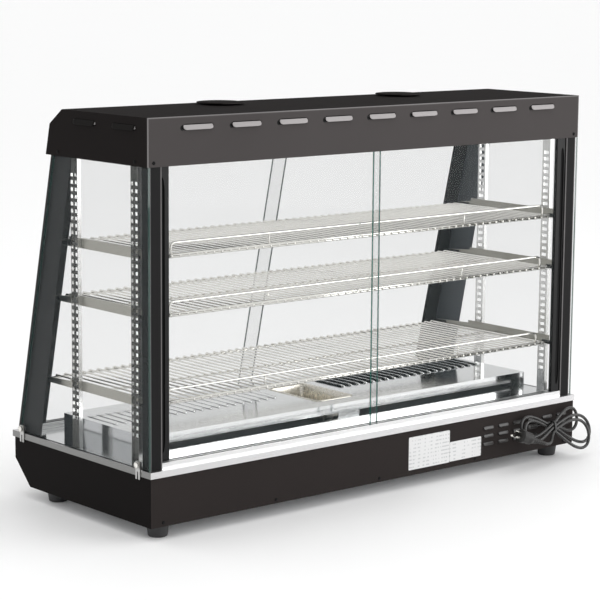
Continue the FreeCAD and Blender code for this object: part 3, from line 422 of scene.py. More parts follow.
# %% Make the glass
def pane_glass(name, thin, green=(0.010, 0.045, 0.036), veil=0.05):
    """thin is the direction across the pane, green the colour of its cut edge, and veil how much of
    the light a face takes away."""
    f = Finish(name, roughness=0.03, specular_ior_level=0.5, ior=1.5)
    edge = 1 - f.facing(thin).size().above(0.7)
    coords, *_ = f.places()
    cloud = f.noise(coords, 3.0, 3)
    face = f.blend(cloud, (0.10, 0.125, 0.13), (0.14, 0.165, 0.17))
    f.put("Base Color", f.blend(edge, face, green))
    fresnel = f.node("ShaderNodeLayerWeight", {"Blend": 0.25}, out="Facing")
    f.put("Alpha", (veil + 0.06 * fresnel * (0.9 + 0.1 * cloud) + edge * 0.8).lowest(1))
    return f.material


slope = (0.477 - 0.340) / 0.602
lean = np.array([0.0, 1.0, slope]) / math.hypot(1, slope)
rear_glass = pane_glass("rear door glass", (0, 1, 0), (0.035, 0.155, 0.125))
side_glass = pane_glass("side glass", (1, 0, 0))
front_glass = pane_glass("front door glass", tuple(lean))
print("glass for panes facing rear, side and", np.round(lean, 3))

# %% [markdown]
# ### Plastics, rubber and paper
#
# Moulded plastic has a fine spark-eroded grain, rubber a coarser and duller one, and both gather a
# little dust. One function makes them all from a colour, a roughness and the size of the grain.

# %% Make the plastics
def moulded(name, colour, rough, grain=1200, depth=0.00005, dust=0.25, **constants):
    f = Finish(name, **constants)
    coords, *_ = f.places()
    cloud = f.noise(coords, 12.0, 4)
    fine = f.noise(coords, grain, 2)
    dusty = tuple(c + (0.35 - c) * 0.12 for c in colour)
    f.put("Base Color", f.blend(cloud * dust, colour, dusty))
    f.put("Roughness", rough + 0.12 * cloud)
    f.bump(fine, 0.3, depth)
    return f.material


stile_plastic = moulded("stile plastic", (0.0045, 0.0045, 0.0048), 0.26, specular_ior_level=0.14)
cap_plastic = moulded("cap plastic", (0.015, 0.015, 0.015), 0.40)
foot_rubber = moulded("foot rubber", (0.020, 0.020, 0.021), 0.50, 700, 0.0001)
cord_jacket = moulded("cord jacket", (0.014, 0.0135, 0.013), 0.20, 900, 0.00003)
plug_vinyl = moulded("plug vinyl", (0.017, 0.016, 0.015), 0.38, 900, 0.00007, specular_ior_level=0.3)
gloss_black = moulded("switch housing", (0.014, 0.014, 0.015), 0.16)
red_lens = moulded("red rocker", (0.55, 0.02, 0.015), 0.12, dust=0.08)
ceramic = moulded("white ceramic", (0.80, 0.79, 0.75), 0.25, 400, 0.00008)
lamp_envelope = moulded("frosted lamp", (0.90, 0.89, 0.84), 0.30, 500, 0.00004)
paint_white = moulded("printed white", (0.80, 0.80, 0.78), 0.45)
pan_steel = rolled_metal("drawn pan steel", (0.74, 0.71, 0.64), 0.18, 0.10, (60, 60, 60), 0.08)
pin_brass = rolled_metal("plug pins", (0.86, 0.84, 0.78), 0.16, 0.10, (400, 400, 400))
print("plastics:", stile_plastic.name, cord_jacket.name, plug_vinyl.name)

# %% [markdown]
# ## Dressing the parts that keep their solid
#
# A part whose solid is already right only needs its finish. The table below pairs each finish with
# the parts that wear it.

# %% Give the kept parts their finish
DRESS = {
    hood_coat: ["hood_shell"],
    base_coat: ["base_shell"],
    pillar_coat: ["rear_pillar_left", "rear_pillar_right"],
    front_pillar_coat: ["front_pillar_left", "front_pillar_right"],
    polished_sheet: ["deck_plate", "heater_cover"],
    trim_steel: ["deck_trim"],
    bracket_steel: ["shelf_brackets_top", "shelf_brackets_middle", "shelf_brackets_bottom"],
    zinc_sheet: ["base_bottom_plate", "heat_shield", "hood_ceiling", "thermostat_body"],
    slotted_chrome: ["pilaster_front_left", "pilaster_front_right", "pilaster_rear_left",
                     "pilaster_rear_right"],
    clip_metal: ["glass_clips"],
    track_metal: ["rear_track_bottom", "rear_track_top", "front_track_bottom", "front_track_top"],
    element_metal: ["heating_element_left", "heating_element_right"],
    rear_glass: ["rear_door_left", "rear_door_right"],
    side_glass: ["side_glass_left", "side_glass_right"],
    front_glass: ["front_door_left", "front_door_right"],
    stile_plastic: ["front_grip_left", "front_grip_right"],
    gloss_black: ["heat_switch_housing", "light_switch_housing"],
    ceramic: ["terminal_block", "lamp_holders"],
}
for finish, nodes in DRESS.items():
    for node in nodes:
        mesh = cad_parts[node].data
        mesh.materials.clear()
        mesh.materials.append(finish)
print("dressed", sum(len(nodes) for nodes in DRESS.values()), "parts")

# %% [markdown]
# ## The mains cord
#
# The cord leaves the rear panel through a moulded boot, passes through a black tie, and is folded
# there into long loops of different sizes that fan out on both sides of the tie. The two short ends
# repeat the points of the solid ends. Each loop is a teardrop: as its angle goes once round, the
# distance from the tie goes out to the tip and back, and the sideways part is widest past the
# middle. The height grows with the square of the distance, so every loop leaves the tie level. The
# six strands lie in two columns of three inside the tie.

# %% Work out the route of the cord
TIE = np.array([-0.507, 0.2754, 0.083])
LEAN = np.array([0.0, -0.2, 1.0])
CORD_WIDE = 0.0070
LEAD = np.array([(-0.462, 0.258, 0.088), (-0.477, 0.260, 0.0885), (-0.492, 0.266, 0.0895)])
TAIL = np.array([(-0.489, 0.291, 0.0665), (-0.478, 0.299, 0.056), (-0.466, 0.302, 0.052),
                 (-0.453, 0.302, 0.056)])
STRANDS = [(c * CORD_WIDE * 0.55, r * CORD_WIDE * 1.12) for r in (1, 0, -1) for c in (-1, 1)]
LOOPS = [  # tip (across, up) from the tie in mm, half width in mm, bulge outwards in mm, turns over
    ((-92, -2), 26, -10, 1), ((97.5, 5), 25.5, -3.5, -1), ((-117, -31), 30, 0.5, 1),
    ((95, 3.5), 26, 4, -1), ((-97, -32), 31, 15, 1)]


def strand(k):
    """Where strand k lies inside the tie."""
    out, high = STRANDS[k]
    return TIE + np.array([0, out, 0]) + LEAN * high


def loop(k, tip, wide, bulge, hand, count=13):
    """A teardrop from strand k to strand k + 1 that runs out to its tip and back."""
    t = np.linspace(0.8, 2 * np.pi - 0.8, count)[:, None]
    tip = np.array(tip) * MM
    sideways = np.array([-tip[1], tip[0]]) / np.linalg.norm(tip)
    far = (1 - np.cos(t)) / 2
    flat = np.concatenate([tip[:1] * far, tip[1:] * far ** 2], 1)
    flat = flat + sideways * (hand * wide * MM * np.sin(t) * far ** 0.72 / 0.70)
    start, end = strand(k), strand(k + 1)
    base = start + (end - start) * (t - np.sin(t)) / (2 * np.pi)
    return (base + flat[:, :1] * np.array([1.0, 0, 0]) + flat[:, 1:] * LEAN
            + np.array([0, bulge * MM, 0]) * np.sin(t / 2) ** 2)


route = [LEAD, strand(0)[None]]
for k, (tip, wide, bulge, hand) in enumerate(LOOPS):
    route += [loop(k, tip, wide, bulge, hand), strand(k + 1)[None]]
route = np.concatenate(route + [TAIL])
print(len(route), "points; from", np.round(route[0], 3), "to", np.round(route[-1], 3))

# %% [markdown]
# The line itself is a smooth spline that has these points as its control points. A round bevel
# makes it a tube. A mesh tube would do as well, but the spline can still be changed point by point.

# %% Draw the cord
curve = bpy.data.curves.new("mains_cord", "CURVE")
curve.dimensions = "3D"
curve.bevel_depth = CORD_WIDE / 2
curve.bevel_resolution = 4
curve.resolution_u = 6
curve.use_fill_caps = True
spline = curve.splines.new("NURBS")
spline.points.add(len(route) - 1)
spline.points.foreach_set("co", np.c_[route, np.ones(len(route))].ravel())
spline.order_u = 3
spline.use_endpoint_u = True
curve.materials.append(cord_jacket)
cord = add_to_scene("mains_cord", curve)
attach(cord, CASE)
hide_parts("cord_lead", "cord_hank", "cord_tail")
bare = bpy.data.objects.new("bare", curve.copy())
bare.data.bevel_depth = 0
line = np.array([v.co[:] for v in bpy.data.meshes.new_from_object(bare).vertices])
bpy.data.objects.remove(bare)

# %% [markdown]
# The boot is a tapered sleeve with ring grooves, which stops the cord from kinking at the panel.
# The plug is one moulding: a round body with a waist for the fingers and a tail with grooves like
# the boot's. Its flat pins stand one above the other, as it hangs turned on its side.

# %% Mould the boot, the plug and the tie
def ringed(length, start, end, rings):
    """Profile of a taper with ring grooves: a cosine ripple on a straight taper."""
    h = np.linspace(0, length, rings * 8)
    fade = np.minimum(1, np.minimum(h, length - h) / (length * 0.15))
    ripple = 0.00045 * fade * (1 - np.cos(2 * np.pi * rings * h / length))
    return list(zip(start + (end - start) * h / length - ripple, h))


GLAND_X, GLAND_Z = -0.4425, 0.088
flange = lathe([(0, 0), (0.008, 0), (0.008, 0.0035), (0.0072, 0.0048), (0.0058, 0.0052),
                (0.0054, 0.0065), (0.0062, 0.0125), (0.0045, 0.0140), (0, 0.0142)],
               (GLAND_X, REAR, GLAND_Z), (0, 1, 0), 28)
boot = lathe([(0, 0)] + ringed(0.0188, 0.0058, 0.0047, 4) + [(0.0042, 0.0192), (0, 0.0194)],
             (GLAND_X, REAR + 0.008, GLAND_Z), (-1, 0, 0), 24)
gland = piece("cord_boot", *gather([flange, boot]), plug_vinyl, repair=True)
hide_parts("cord_gland")

TURN, TWIST = math.radians(20.0), math.radians(25.0)
plug_axis = np.array([math.cos(TURN), 0, math.sin(TURN)])
plug_up = np.array([-math.sin(TURN) * math.cos(TWIST), -math.sin(TWIST),
                    math.cos(TURN) * math.cos(TWIST)])
plug_side = np.cross(plug_up, plug_axis)
PLUG_LONG = 0.084
face_at = TAIL[-1] + plug_axis * PLUG_LONG
body_profile = [(0, 0), (0.0138, 0), (0.0148, 0.0010), (0.0150, 0.0030), (0.0148, 0.010),
                (0.0134, 0.017), (0.0130, 0.021), (0.0140, 0.026), (0.0134, 0.031),
                (0.0098, 0.037), (0.0078, 0.040)]
tail_profile = [(r, h + 0.0405) for r, h in ringed(PLUG_LONG - 0.0415, 0.0066, 0.0044, 6)]
plug_body = lathe(body_profile + tail_profile + [(0.0040, PLUG_LONG - 0.0003), (0, PLUG_LONG)],
                  face_at, -plug_axis, 36)
plug = piece("mains_plug_moulding", *plug_body, plug_vinyl, repair=True)
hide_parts("mains_plug")


def along_plug(part):
    """Place a part drawn along X, with Z up, on the plug's face."""
    points, faces = part
    points = np.asarray(points)
    return (face_at + points[:, :1] * plug_axis + points[:, 1:2] * plug_side
            + points[:, 2:] * plug_up), faces


pins = [along_plug(block((-0.002, -0.0032, z - 0.0008), (0.0178, 0.0032, z + 0.0008)))
        for z in (-0.00635, 0.00635)]
plug_pins = piece("plug_flat_pins", *gather(pins), pin_brass, smooth=False, repair=True)
soften(plug_pins, 0.0004)
earth = lathe([(0, 0), (0.0024, 0), (0.0024, 0.019), (0.0018, 0.0212), (0, 0.0218)],
              face_at - plug_side * 0.0119 - plug_axis * 0.002, plug_axis, 20)
plug_earth = piece("plug_round_pin", *earth, pin_brass, repair=True)

angle = np.linspace(0, 2 * np.pi, 40, endpoint=False)
circle = np.c_[np.cos(angle), np.sin(angle)]
rim = np.sign(circle) * np.abs(circle) ** 0.6
band_rows = []
for x, grow in ((-3.2, 0.0), (-3.2, 1.0), (-2.6, 1.4), (2.6, 1.4), (3.2, 1.0), (3.2, 0.0)):
    ring = rim * (np.array([8.3, 11.4]) + grow) * MM
    band_rows.append(TIE + np.array([x * MM, 0, 0]) + ring[:, :1] * np.array([0, 1.0, 0.2])
                     + ring[:, 1:] * LEAN)
band = piece("cord_band", np.array(band_rows), grid_faces(6, 40, close_rows=True, close_cols=True),
             cap_plastic, repair=True)
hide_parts("cord_tie")
print("plug face at", np.round(face_at, 4))

# %% [markdown]
# ## The wire shelves
#
# Each shelf is welded from drawn wire: many thin wires from rear to front, whose ends bend down
# over the outer rods, three cross rods below them, and a guard rail along the rear that keeps trays
# from the doors. One wire is a tube along a flat path. The others are copies of its array, shifted
# along X, so the whole shelf is one surface.

# %% Weld the shelves
WIRE_PITCH, WIRE_GAPS = 0.0208, 52


def wire_shelf(level_name):
    node = "shelf_" + level_name
    low, high = (np.array(c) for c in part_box(node))
    height = low[2] + 0.006
    rear, front = high[1], low[1]
    drop = 0.0062
    path = rounded_path([(0, rear - 0.0020, height - drop), (0, rear - 0.0020, height),
                         (0, front + 0.0045, height), (0, front + 0.0045, height - drop)], 0.0048, 5)
    wire, wire_faces = tube(path, 0.0021, (1, 0, 0), 8)
    spread = (np.arange(WIRE_GAPS + 1) - WIRE_GAPS / 2) * WIRE_PITCH
    wires = [(wire + np.array([x, 0, 0]), wire_faces) for x in spread]
    rods = []
    reach = high[0] - 0.0005
    for place_y, radius in ((rear - 0.0055, 0.0026), ((rear + front) / 2, 0.0024),
                            (front + 0.0085, 0.0026)):
        ends = [(-reach, place_y, height - 0.0043), (reach, place_y, height - 0.0043)]
        rods.append(tube(np.linspace(*ends, 3), radius, (0, 0, 1), 12))
    guard_half = 0.5225
    rail_y, top = rear - 0.0026, high[2] - 0.0027
    rail = rounded_path([(-guard_half, rail_y, height), (-guard_half, rail_y, top),
                         (guard_half, rail_y, top), (guard_half, rail_y, height)], 0.014, 7)
    rods.append(tube(rail, 0.0025, (0, 1, 0), 12))
    for x in (-0.275, 0.275):
        rods.append(tube([(x, rail_y, height), (x, rail_y, height + 0.012), (x, rail_y, top)], 0.0019,
                         (0, 1, 0), 8))
    rods.append(tube(np.linspace((-0.545, rear - 0.0026, height), (0.545, rear - 0.0026, height), 3),
                     0.0025, (0, 0, 1), 12))
    shelf = piece("wire_" + node, *gather(wires + rods), chrome, level_name + "_wire_shelf",
                  repair=True)
    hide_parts(node)
    return shelf


shelves = [wire_shelf(name) for name in ("top", "middle", "bottom")]
print("wires and rods:", [len(s.data.polygons) for s in shelves], "faces")

# %% [markdown]
# ## Louvres
#
# A louvre is cut on one long side and pressed outwards, so that it makes a small roof over its
# slot and keeps drips out. Its height is a quarter of a sine from the uncut edge to the lip, and the
# two ends fall away along a quarter circle. One function makes a louvre in a plane that is given by
# its three directions, and is used for the hood, the base and the heater cover.

# %% Press the louvres
def louvre(centre, along, down, out, length, tall, depth, columns=22, rows=7):
    """Rise = depth x sin(quarter turn across) x quarter-circle fall at both ends; the outline is
    shorter by a circle's sagitta at its long edges, so the ends are round."""
    u = np.linspace(-1, 1, columns)[None, :, None]
    v = np.linspace(0, 1, rows)[:, None, None]
    ends = np.sqrt(np.clip(1 - np.clip((np.abs(u) - 0.90) / 0.10, 0, 1) ** 2, 0, 1))
    rise = depth * np.sin(v * np.pi / 2) * ends
    along, down, out = (np.array(a, float) for a in (along, down, out))
    half = length / 2 - tall / 2 * (1 - np.sqrt(np.clip(1 - (2 * v - 1) ** 2, 0, 1)))
    top = (np.array(centre) + along * u * half + down * (v - 0.5) * tall + out * (rise + 0.0001))
    under = top - out * np.minimum(0.0008, rise * 0.6)
    both = np.stack([top, under]).reshape(2, -1, 3)
    faces = [tuple(f) for f in grid_faces(rows, columns)]
    size = rows * columns
    back_faces = [tuple(c + size for c in f)[::-1] for f in faces]
    border = list(range(columns)) + [r * columns + columns - 1 for r in range(1, rows)]
    border += list(range(size - 2, size - columns - 1, -1))
    border += [r * columns for r in range(rows - 2, 0, -1)]
    rim_faces = [(b, a, a + size, b + size) for a, b in zip(border, border[1:] + border[:1])]
    return both.reshape(-1, 3), faces + back_faces + rim_faces


DOWN, REARWARD = (0, 0, -1), (0, 1, 0)
ROW_Z, ROW_X = 0.8032, (np.arange(9) - 4) * 0.120
hood_louvres = [louvre((x, HOOD_REAR, ROW_Z), (1, 0, 0), DOWN, REARWARD, 0.078, 0.0115, 0.0042)
                for x in ROW_X]
for side in (-1, 1):
    for depth in (0.085, 0.217):
        hood_louvres.append(louvre((side * HOOD_HALF, REAR - depth, ROW_Z), (0, 1, 0), DOWN,
                                   (side, 0, 0), 0.078, 0.0115, 0.0042))
# The rear colour of the louvre coat is a painted highlight on the rearward faces of the hood louvres.
louvre_coat = powder_coat("louvre powder coat", (0.0055, 0.0048, 0.0045), gloss=0.38, shine=0.04,
                          rear=(0.31, 0.295, 0.295))
hood_rows = piece("hood_louvres", *gather(hood_louvres), louvre_coat, repair=True)
# A thin black disc at one end of each rear hood louvre is painted shade where its slot opens.
slot_shade_discs = [lathe([(0, 0.00005), (0.0052, 0.00005), (0.0050, 0.0004), (0, 0.0004)],
                (x + 0.0365, HOOD_REAR, 0.8015), REARWARD, 20) for x in ROW_X]
slot_shade_set = piece("hood_louvre_slot_shade", *gather(slot_shade_discs), stile_plastic, repair=True)
# The rear colour of the base louvre coat is painted light, a lighter tone on the rear-facing faces.
slot_coat = powder_coat("base louvre coat", (0.010, 0.009, 0.009), gloss=0.25, shine=0.5,
                        rear=(0.013, 0.0115, 0.011))
base_louvres = [louvre((x, REAR, z), (1, 0, 0), DOWN, REARWARD, 0.033, 0.0080, 0.0030)
                for x in -0.325 - np.arange(6) * 0.047 for z in (0.101, 0.083, 0.065)]
base_rows = piece("base_louvres", *gather(base_louvres), slot_coat, repair=True)
fins = []
for side in (-1, 1):
    for x in 0.100 + np.arange(20) * 0.022:
        fins.append(louvre((side * x, REAR - 0.277, 0.1850), (0, 1, 0), (-side, 0, 0), (0, 0, 1),
                           0.104, 0.0110, 0.0042))
cover_rows = piece("heater_cover_louvres", *gather(fins), polished_sheet, repair=True)
print(len(hood_louvres), "on the hood,", len(base_louvres), "on the base,", len(fins), "on the cover")

# %% [markdown]
# ## Door stiles
#
# A black strip closes the outer end of each rear pane. It has a finger groove whose ends are
# rounded. The strip is one section carried upwards: the corners of the section stay, and the four
# points of the groove sink in by a depth that grows from nothing along a quarter circle at each end.

# %% Carry the stile section upwards
def stile(side_name, side):
    node = "rear_stile_" + side_name
    low, high = (np.array(c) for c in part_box(node))
    outer, inner = (high[0], low[0]) if side == 1 else (low[0], high[0])
    near, far = high[1], low[1]
    foot, head = low[2], high[2]
    bottom, top, arch = foot + 0.016, head - 0.022, 0.030
    z = np.unique(np.r_[foot, foot + 0.0006, np.linspace(bottom - 0.001, bottom + arch, 18),
                        np.linspace(top - arch, top + 0.001, 18), head - 0.0006, head])
    reach = np.clip(np.minimum(z - bottom, top - z) / arch, 0, 1)
    open_by = np.sqrt(np.clip(1 - (1 - reach) ** 2, 0, 1))[:, None]
    groove_mid = outer - side * 0.0085
    half = 0.0058 * open_by
    deep = 0.0046 * open_by ** 0.5
    zero = np.zeros_like(open_by)
    columns = [
        (outer + zero, near - 0.0008 + zero), (outer - side * 0.0006 + zero, near + zero),
        (groove_mid + side * (half + 0.0002), near + zero),
        (groove_mid + side * half * 0.85, near - deep * 0.8),
        (groove_mid + side * half * 0.5, near - deep), (groove_mid - side * half * 0.5, near - deep),
        (groove_mid - side * half * 0.85, near - deep * 0.8),
        (groove_mid - side * (half + 0.0002), near + zero),
        (inner + side * 0.0006 + zero, near + zero), (inner + zero, near - 0.0008 + zero),
        (inner + zero, far + 0.0008 + zero), (inner + side * 0.0006 + zero, far + zero),
        (outer - side * 0.0006 + zero, far + zero), (outer + zero, far + 0.0008 + zero)]
    grid = np.stack([np.concatenate([x, y, z[:, None]], 1) for x, y in columns], 1)
    made = piece("finger_" + node, grid, tube_faces(len(z), len(columns)), stile_plastic,
                 "rear_sliding_door_" + side_name, smooth=False, repair=True)
    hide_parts(node)
    return made


stiles = [stile("right", 1), stile("left", -1)]
print("stiles:", [s.name for s in stiles])

# %% [markdown]
# ## Turned parts
#
# Feet, vent caps, thumb screws, lamps and the knob are all turned about an axis, so each is a
# profile of radius against height. The knob and the screws also have flutes, which are a ripple of
# the radius with the angle.

# %% Turn the feet, vents, screws and lamps
feet = []
for x in (-0.556, 0.556):
    for depth in (0.038, 0.386):
        feet.append(lathe([(0, 0.003), (0.009, 0.003), (0.0105, 0.0), (0.0175, 0.0), (0.0192, 0.0012),
                           (0.0199, 0.004), (0.0229, 0.0255), (0.0233, 0.0272), (0.0233, 0.028),
                           (0, 0.028)], (x, REAR - depth, 0), (0, 0, 1), 40))
foot_set = piece("rubber_feet", *gather(feet), foot_rubber, repair=True)
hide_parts("feet")
caps = [lathe([(0, 0), (0.030, 0), (0.030, 0.0032), (0.049, 0.0032), (0.050, 0.0040), (0.0492, 0.0052),
               (0.044, 0.0058), (0.012, 0.0060), (0, 0.0060)],
              (x, REAR - 0.230, HOOD_TOP), (0, 0, 1), 48)
        for x in (-0.25, 0.25)]
vents = piece("roof_vents", *gather(caps), hood_coat, repair=True)
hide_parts("roof_vent_caps")


def fluted(profile, origin, axis, turns, flutes, depth):
    """A turned profile whose radius ripples with the angle, most where the radius is largest."""
    points, faces = lathe(profile, origin, axis, turns)
    origin, axis = np.array(origin, float), np.array(axis, float)
    along = (points - origin) @ axis
    spoke = points - origin - along[:, None] * axis
    radius = np.linalg.norm(spoke, axis=1)
    step = np.tile(np.arange(turns), len(profile)) / turns * 2 * np.pi * flutes
    widest = max(r for r, _ in profile)
    weight = np.clip((radius - 0.75 * widest) / (0.25 * widest), 0, 1)
    factor = 1 - depth * weight * (0.5 - 0.5 * np.cos(step))
    return origin + along[:, None] * axis + spoke * factor[:, None], faces


screws = []
for side in (-1, 1):
    for depth in (0.038, 0.448):
        screws.append(fluted([(0, 0), (0.0040, 0), (0.0040, 0.0010), (0.0062, 0.0013), (0.0065, 0.0020),
                              (0.0065, 0.0048), (0.0060, 0.0055), (0, 0.0058)],
                             (side * 0.6042, REAR - depth, 0.149), (side, 0, 0), 72, 18, 0.10))
screw_set = piece("knurled_screws", *gather(screws), chrome, repair=True)
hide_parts("thumb_screws")
tubes = []
for middle in (-0.270, 0.270):
    for end in (-1, 1):
        tubes.append(lathe([(0, 0), (0.0062, 0), (0.0080, 0.004), (0.0080, 0.13965)],
                           (middle + end * 0.1397, REAR - 0.172, 0.724), (-end, 0, 0), 24))
lamp_set = piece("lamp_tubes", *gather(tubes), lamp_envelope, repair=True)
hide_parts("lamps")
print("turned:", foot_set.name, vents.name, screw_set.name, lamp_set.name)

# %% [markdown]
# ## The water pan
#
# The pan is a small standard catering pan. Its outline is a rounded rectangle, and the surface is a
# stack of such outlines: from the rim's edge inwards, down the tapering wall, round the lower
# corner and across the floor. A Solidify modifier gives the sheet its thickness.

# %% Draw the pan
def rounded_rectangle(half_x, half_y, radius, count=9):
    """Outline of a rectangle with quarter-circle corners, anticlockwise."""
    quarter = np.linspace(0, np.pi / 2, count)
    arcs = []
    for k, (sx, sy) in enumerate(((1, 1), (-1, 1), (-1, -1), (1, -1))):
        a = quarter + k * np.pi / 2
        arcs.append(np.c_[sx * (half_x - radius) + radius * np.cos(a),
                          sy * (half_y - radius) + radius * np.sin(a)])
    return np.concatenate(arcs)


low, high = (np.array(c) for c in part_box("water_pan"))
middle = (low + high) / 2
half = (high - low) / 2
pan_rows = []
for inset, z, radius in ((0.0004, -0.0020, 0.014), (0.0, -0.0008, 0.014), (0.0010, -0.0001, 0.013),
                         (0.0040, -0.0001, 0.011), (0.0052, -0.0008, 0.010), (0.0062, -0.0030, 0.010),
                         (0.0075, -0.0300, 0.011), (0.0090, -0.0530, 0.012), (0.0105, -0.0575, 0.012),
                         (0.0150, -0.0592, 0.010), (0.0300, -0.0594, 0.008), (0.0440, -0.0594, 0.004)):
    ring = rounded_rectangle(half[0] - inset, half[1] - inset, radius)
    pan_rows.append(np.c_[ring + middle[:2], np.full(len(ring), high[2] + z)])
ring_size = len(pan_rows[0])
pan_faces = [tuple(f) for f in grid_faces(len(pan_rows), ring_size, close_cols=True)]
last = (len(pan_rows) - 1) * ring_size
pan_faces.append(tuple(range(last, last + ring_size)))
pan = piece("drawn_water_pan", np.array(pan_rows), pan_faces, pan_steel, "lift_out_pan")
wall = pan.modifiers.new("sheet thickness", "SOLIDIFY")
wall.thickness = 0.0006
wall.offset = 0
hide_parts("water_pan")
print("pan", np.round(high - low, 3))

# %% [markdown]
# ## Caps, labels and screws
#
# Plastic caps close the sharp ends of the shelf brackets. They are small blocks with rounded edges.
# Two paper labels are stuck on the rear of the base: their corners are round, and they carry only a
# few pale bars instead of words. Pan-head screws hold the rear panel and the hood.

# %% Fit the bracket caps
cap_parts = []
for level_name, rear_d, front_d in (("top", 37, 350), ("middle", 41, 380), ("bottom", 47, 420)):
    low, high = (np.array(c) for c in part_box("shelf_brackets_" + level_name))
    under = low[2]
    for side in (-1, 1):
        for near_d, far_d, tall in ((rear_d, rear_d + 24, 0.0085), (front_d - 30, front_d + 3, 0.0092)):
            a = (side * 0.5718, REAR - far_d * MM, under - 0.0002)
            b = (side * 0.5648, REAR - near_d * MM, under + tall)
            cap_parts.append(block(np.minimum(a, b), np.maximum(a, b)))
cap_set = piece("bracket_caps", *gather(cap_parts), cap_plastic, smooth=False, repair=True)
soften(cap_set, 0.0012, 3)
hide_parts("bracket_end_caps")
print("caps", len(cap_parts))

# %% Stick on the labels and drive the screws
def label_paper():
    """White paper with rows of pale grey bars: a wave across and broken by noise along."""
    f = Finish("label paper", roughness=0.6, specular_ior_level=0.2)
    coords, *_ = f.places()
    rows = f.node("ShaderNodeTexWave", {"Vector": coords, "Scale": 38.0}, out="Fac",
                  bands_direction="Z")
    words = f.noise(coords, 1.0, 2, (160, 1, 20))
    marks = rows.above(0.72) * words.above(0.52)
    fibres = f.noise(coords, 500, 3)
    paper = f.blend(fibres, (0.66, 0.66, 0.66), (0.71, 0.71, 0.71))
    f.put("Base Color", f.blend(marks * 0.6, paper, (0.40, 0.41, 0.42)))
    f.bump(fibres, 0.15, 0.00003)
    return f.material


paper = label_paper()
label_parts = []
for x0, x1, z0, z1 in ((-0.206, -0.084, 0.040, 0.112), (-0.303, -0.2065, 0.041, 0.0845)):
    ring = rounded_rectangle((x1 - x0) / 2, (z1 - z0) / 2, 0.0025, 5)
    rows = []
    for inset, lift in ((0.0, 0.00002), (0.0, 0.00020), (0.0004, 0.00026)):
        shrink = 1 - inset / 0.03
        rows.append(np.c_[(x0 + x1) / 2 + ring[:, 0] * shrink, np.full(len(ring), REAR + lift),
                          (z0 + z1) / 2 + ring[:, 1] * shrink])
    label_parts.append((np.array(rows), tube_faces(3, len(ring))))
labels = piece("rear_labels", *gather(label_parts), paper, smooth=False, repair=True)


def screw_head(place, out, radius=0.0035):
    return lathe([(0, 0.00002), (radius, 0.00002), (radius, 0.0005), (radius * 0.85, 0.0014),
                  (radius * 0.5, 0.0019), (radius * 0.32, 0.0019), (radius * 0.2, 0.0008), (0, 0.0007)],
                 place, out, 20)


heads = [screw_head((x, REAR, 0.036), (0, 1, 0)) for x in (-0.57, -0.285, 0.0, 0.285, 0.57)]
heads += [screw_head((x, HOOD_REAR, 0.738), (0, 1, 0)) for x in (-0.585, 0.585)]
heads += [screw_head((side * HOOD_HALF, y, 0.738), (side, 0, 0))
          for side in (-1, 1) for y in (0.20, -0.06)]
head_set = piece("panel_screws", *gather(heads), pillar_coat, repair=True)
print("labels", len(label_parts), "screws", len(heads))

# %% [markdown]
# ## Controls
#
# The controls sit on the customer side of the base. The knob is a fluted turned part with a raised
# pointer line, the rockers are shallow troughs, and the thermometer is a dial under a glass lens.
# The scale round the knob has plain ticks.

# %% Shape the knob
PANEL_FRONT, PANEL_MID = -0.230, 0.1045
KNOB = np.array([0.510, PANEL_FRONT, PANEL_MID])
FORWARD = (0, -1, 0)
knob_body = fluted([(0, 0), (0.0175, 0), (0.018, 0.0006), (0.018, 0.0034), (0.0172, 0.0042),
                      (0.0162, 0.0046), (0.0160, 0.0060), (0.0146, 0.0180), (0.0136, 0.0196),
                      (0.0120, 0.0200), (0, 0.0200)], KNOB + np.array([0, -0.002, 0]), FORWARD,
                     96, 24, 0.05)
knob = piece("fluted_knob", *knob_body, cap_plastic, "thermostat_dial", repair=True)
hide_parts("thermostat_knob")
pointer = piece("knob_pointer", *block((0.5093, -0.2520, 0.1065), (0.5107, -0.2506, 0.1195)),
                paint_white, "thermostat_dial", smooth=False, repair=True)
soften(pointer, 0.0003)
ticks = []
for k in range(11):
    a = math.radians(-30 - k * 30)
    ray = np.array([math.sin(a), 0, math.cos(a)])
    side = np.array([math.cos(a), 0, -math.sin(a)])
    corners = [ray * 0.0215 - side * 0.0006, ray * 0.0215 + side * 0.0006,
               ray * 0.0250 + side * 0.0006, ray * 0.0250 - side * 0.0006]
    bottom = [KNOB + c + np.array([0, -0.00002, 0]) for c in corners]
    top = [b + np.array([0, -0.00012, 0]) for b in bottom]
    ticks.append((np.array(bottom + top), [(0, 1, 2, 3), (7, 6, 5, 4), (0, 4, 5, 1), (1, 5, 6, 2),
                                           (2, 6, 7, 3), (3, 7, 4, 0)]))
tick_set = piece("knob_scale", *gather(ticks), paint_white, smooth=False, repair=True)
print("knob with", len(ticks), "ticks")

# %% Shape the rockers
def rocker(word, x, finish):
    """A tilted trough: the face dips along a shallow arc between its two pressed ends."""
    z = np.linspace(-0.0099, 0.0099, 13)
    dip = 0.0058 - 0.0016 * (1 - (z / 0.0099) ** 2)
    profile = np.r_[np.c_[-dip, z], [(0.004, 0.0099), (0.004, -0.0099)]]
    tilt = math.radians(-8)
    turned = np.c_[profile[:, 0] * math.cos(tilt) - profile[:, 1] * math.sin(tilt),
                   profile[:, 0] * math.sin(tilt) + profile[:, 1] * math.cos(tilt)]
    rows = [np.c_[np.full(len(turned), x + e), turned + np.array([PANEL_FRONT, PANEL_MID])]
            for e in (-0.0069, 0.0069)]
    made = piece(word + "_rocker_face", np.array(rows), tube_faces(2, len(turned)), finish,
                 word + "_rocker", smooth=False, repair=True)
    soften(made, 0.0004, 2, 50)
    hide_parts(word + "_switch_rocker")
    return made


rockers = [rocker("heat", 0.445, red_lens), rocker("light", 0.400, gloss_black)]
print("rockers", [r.name for r in rockers])

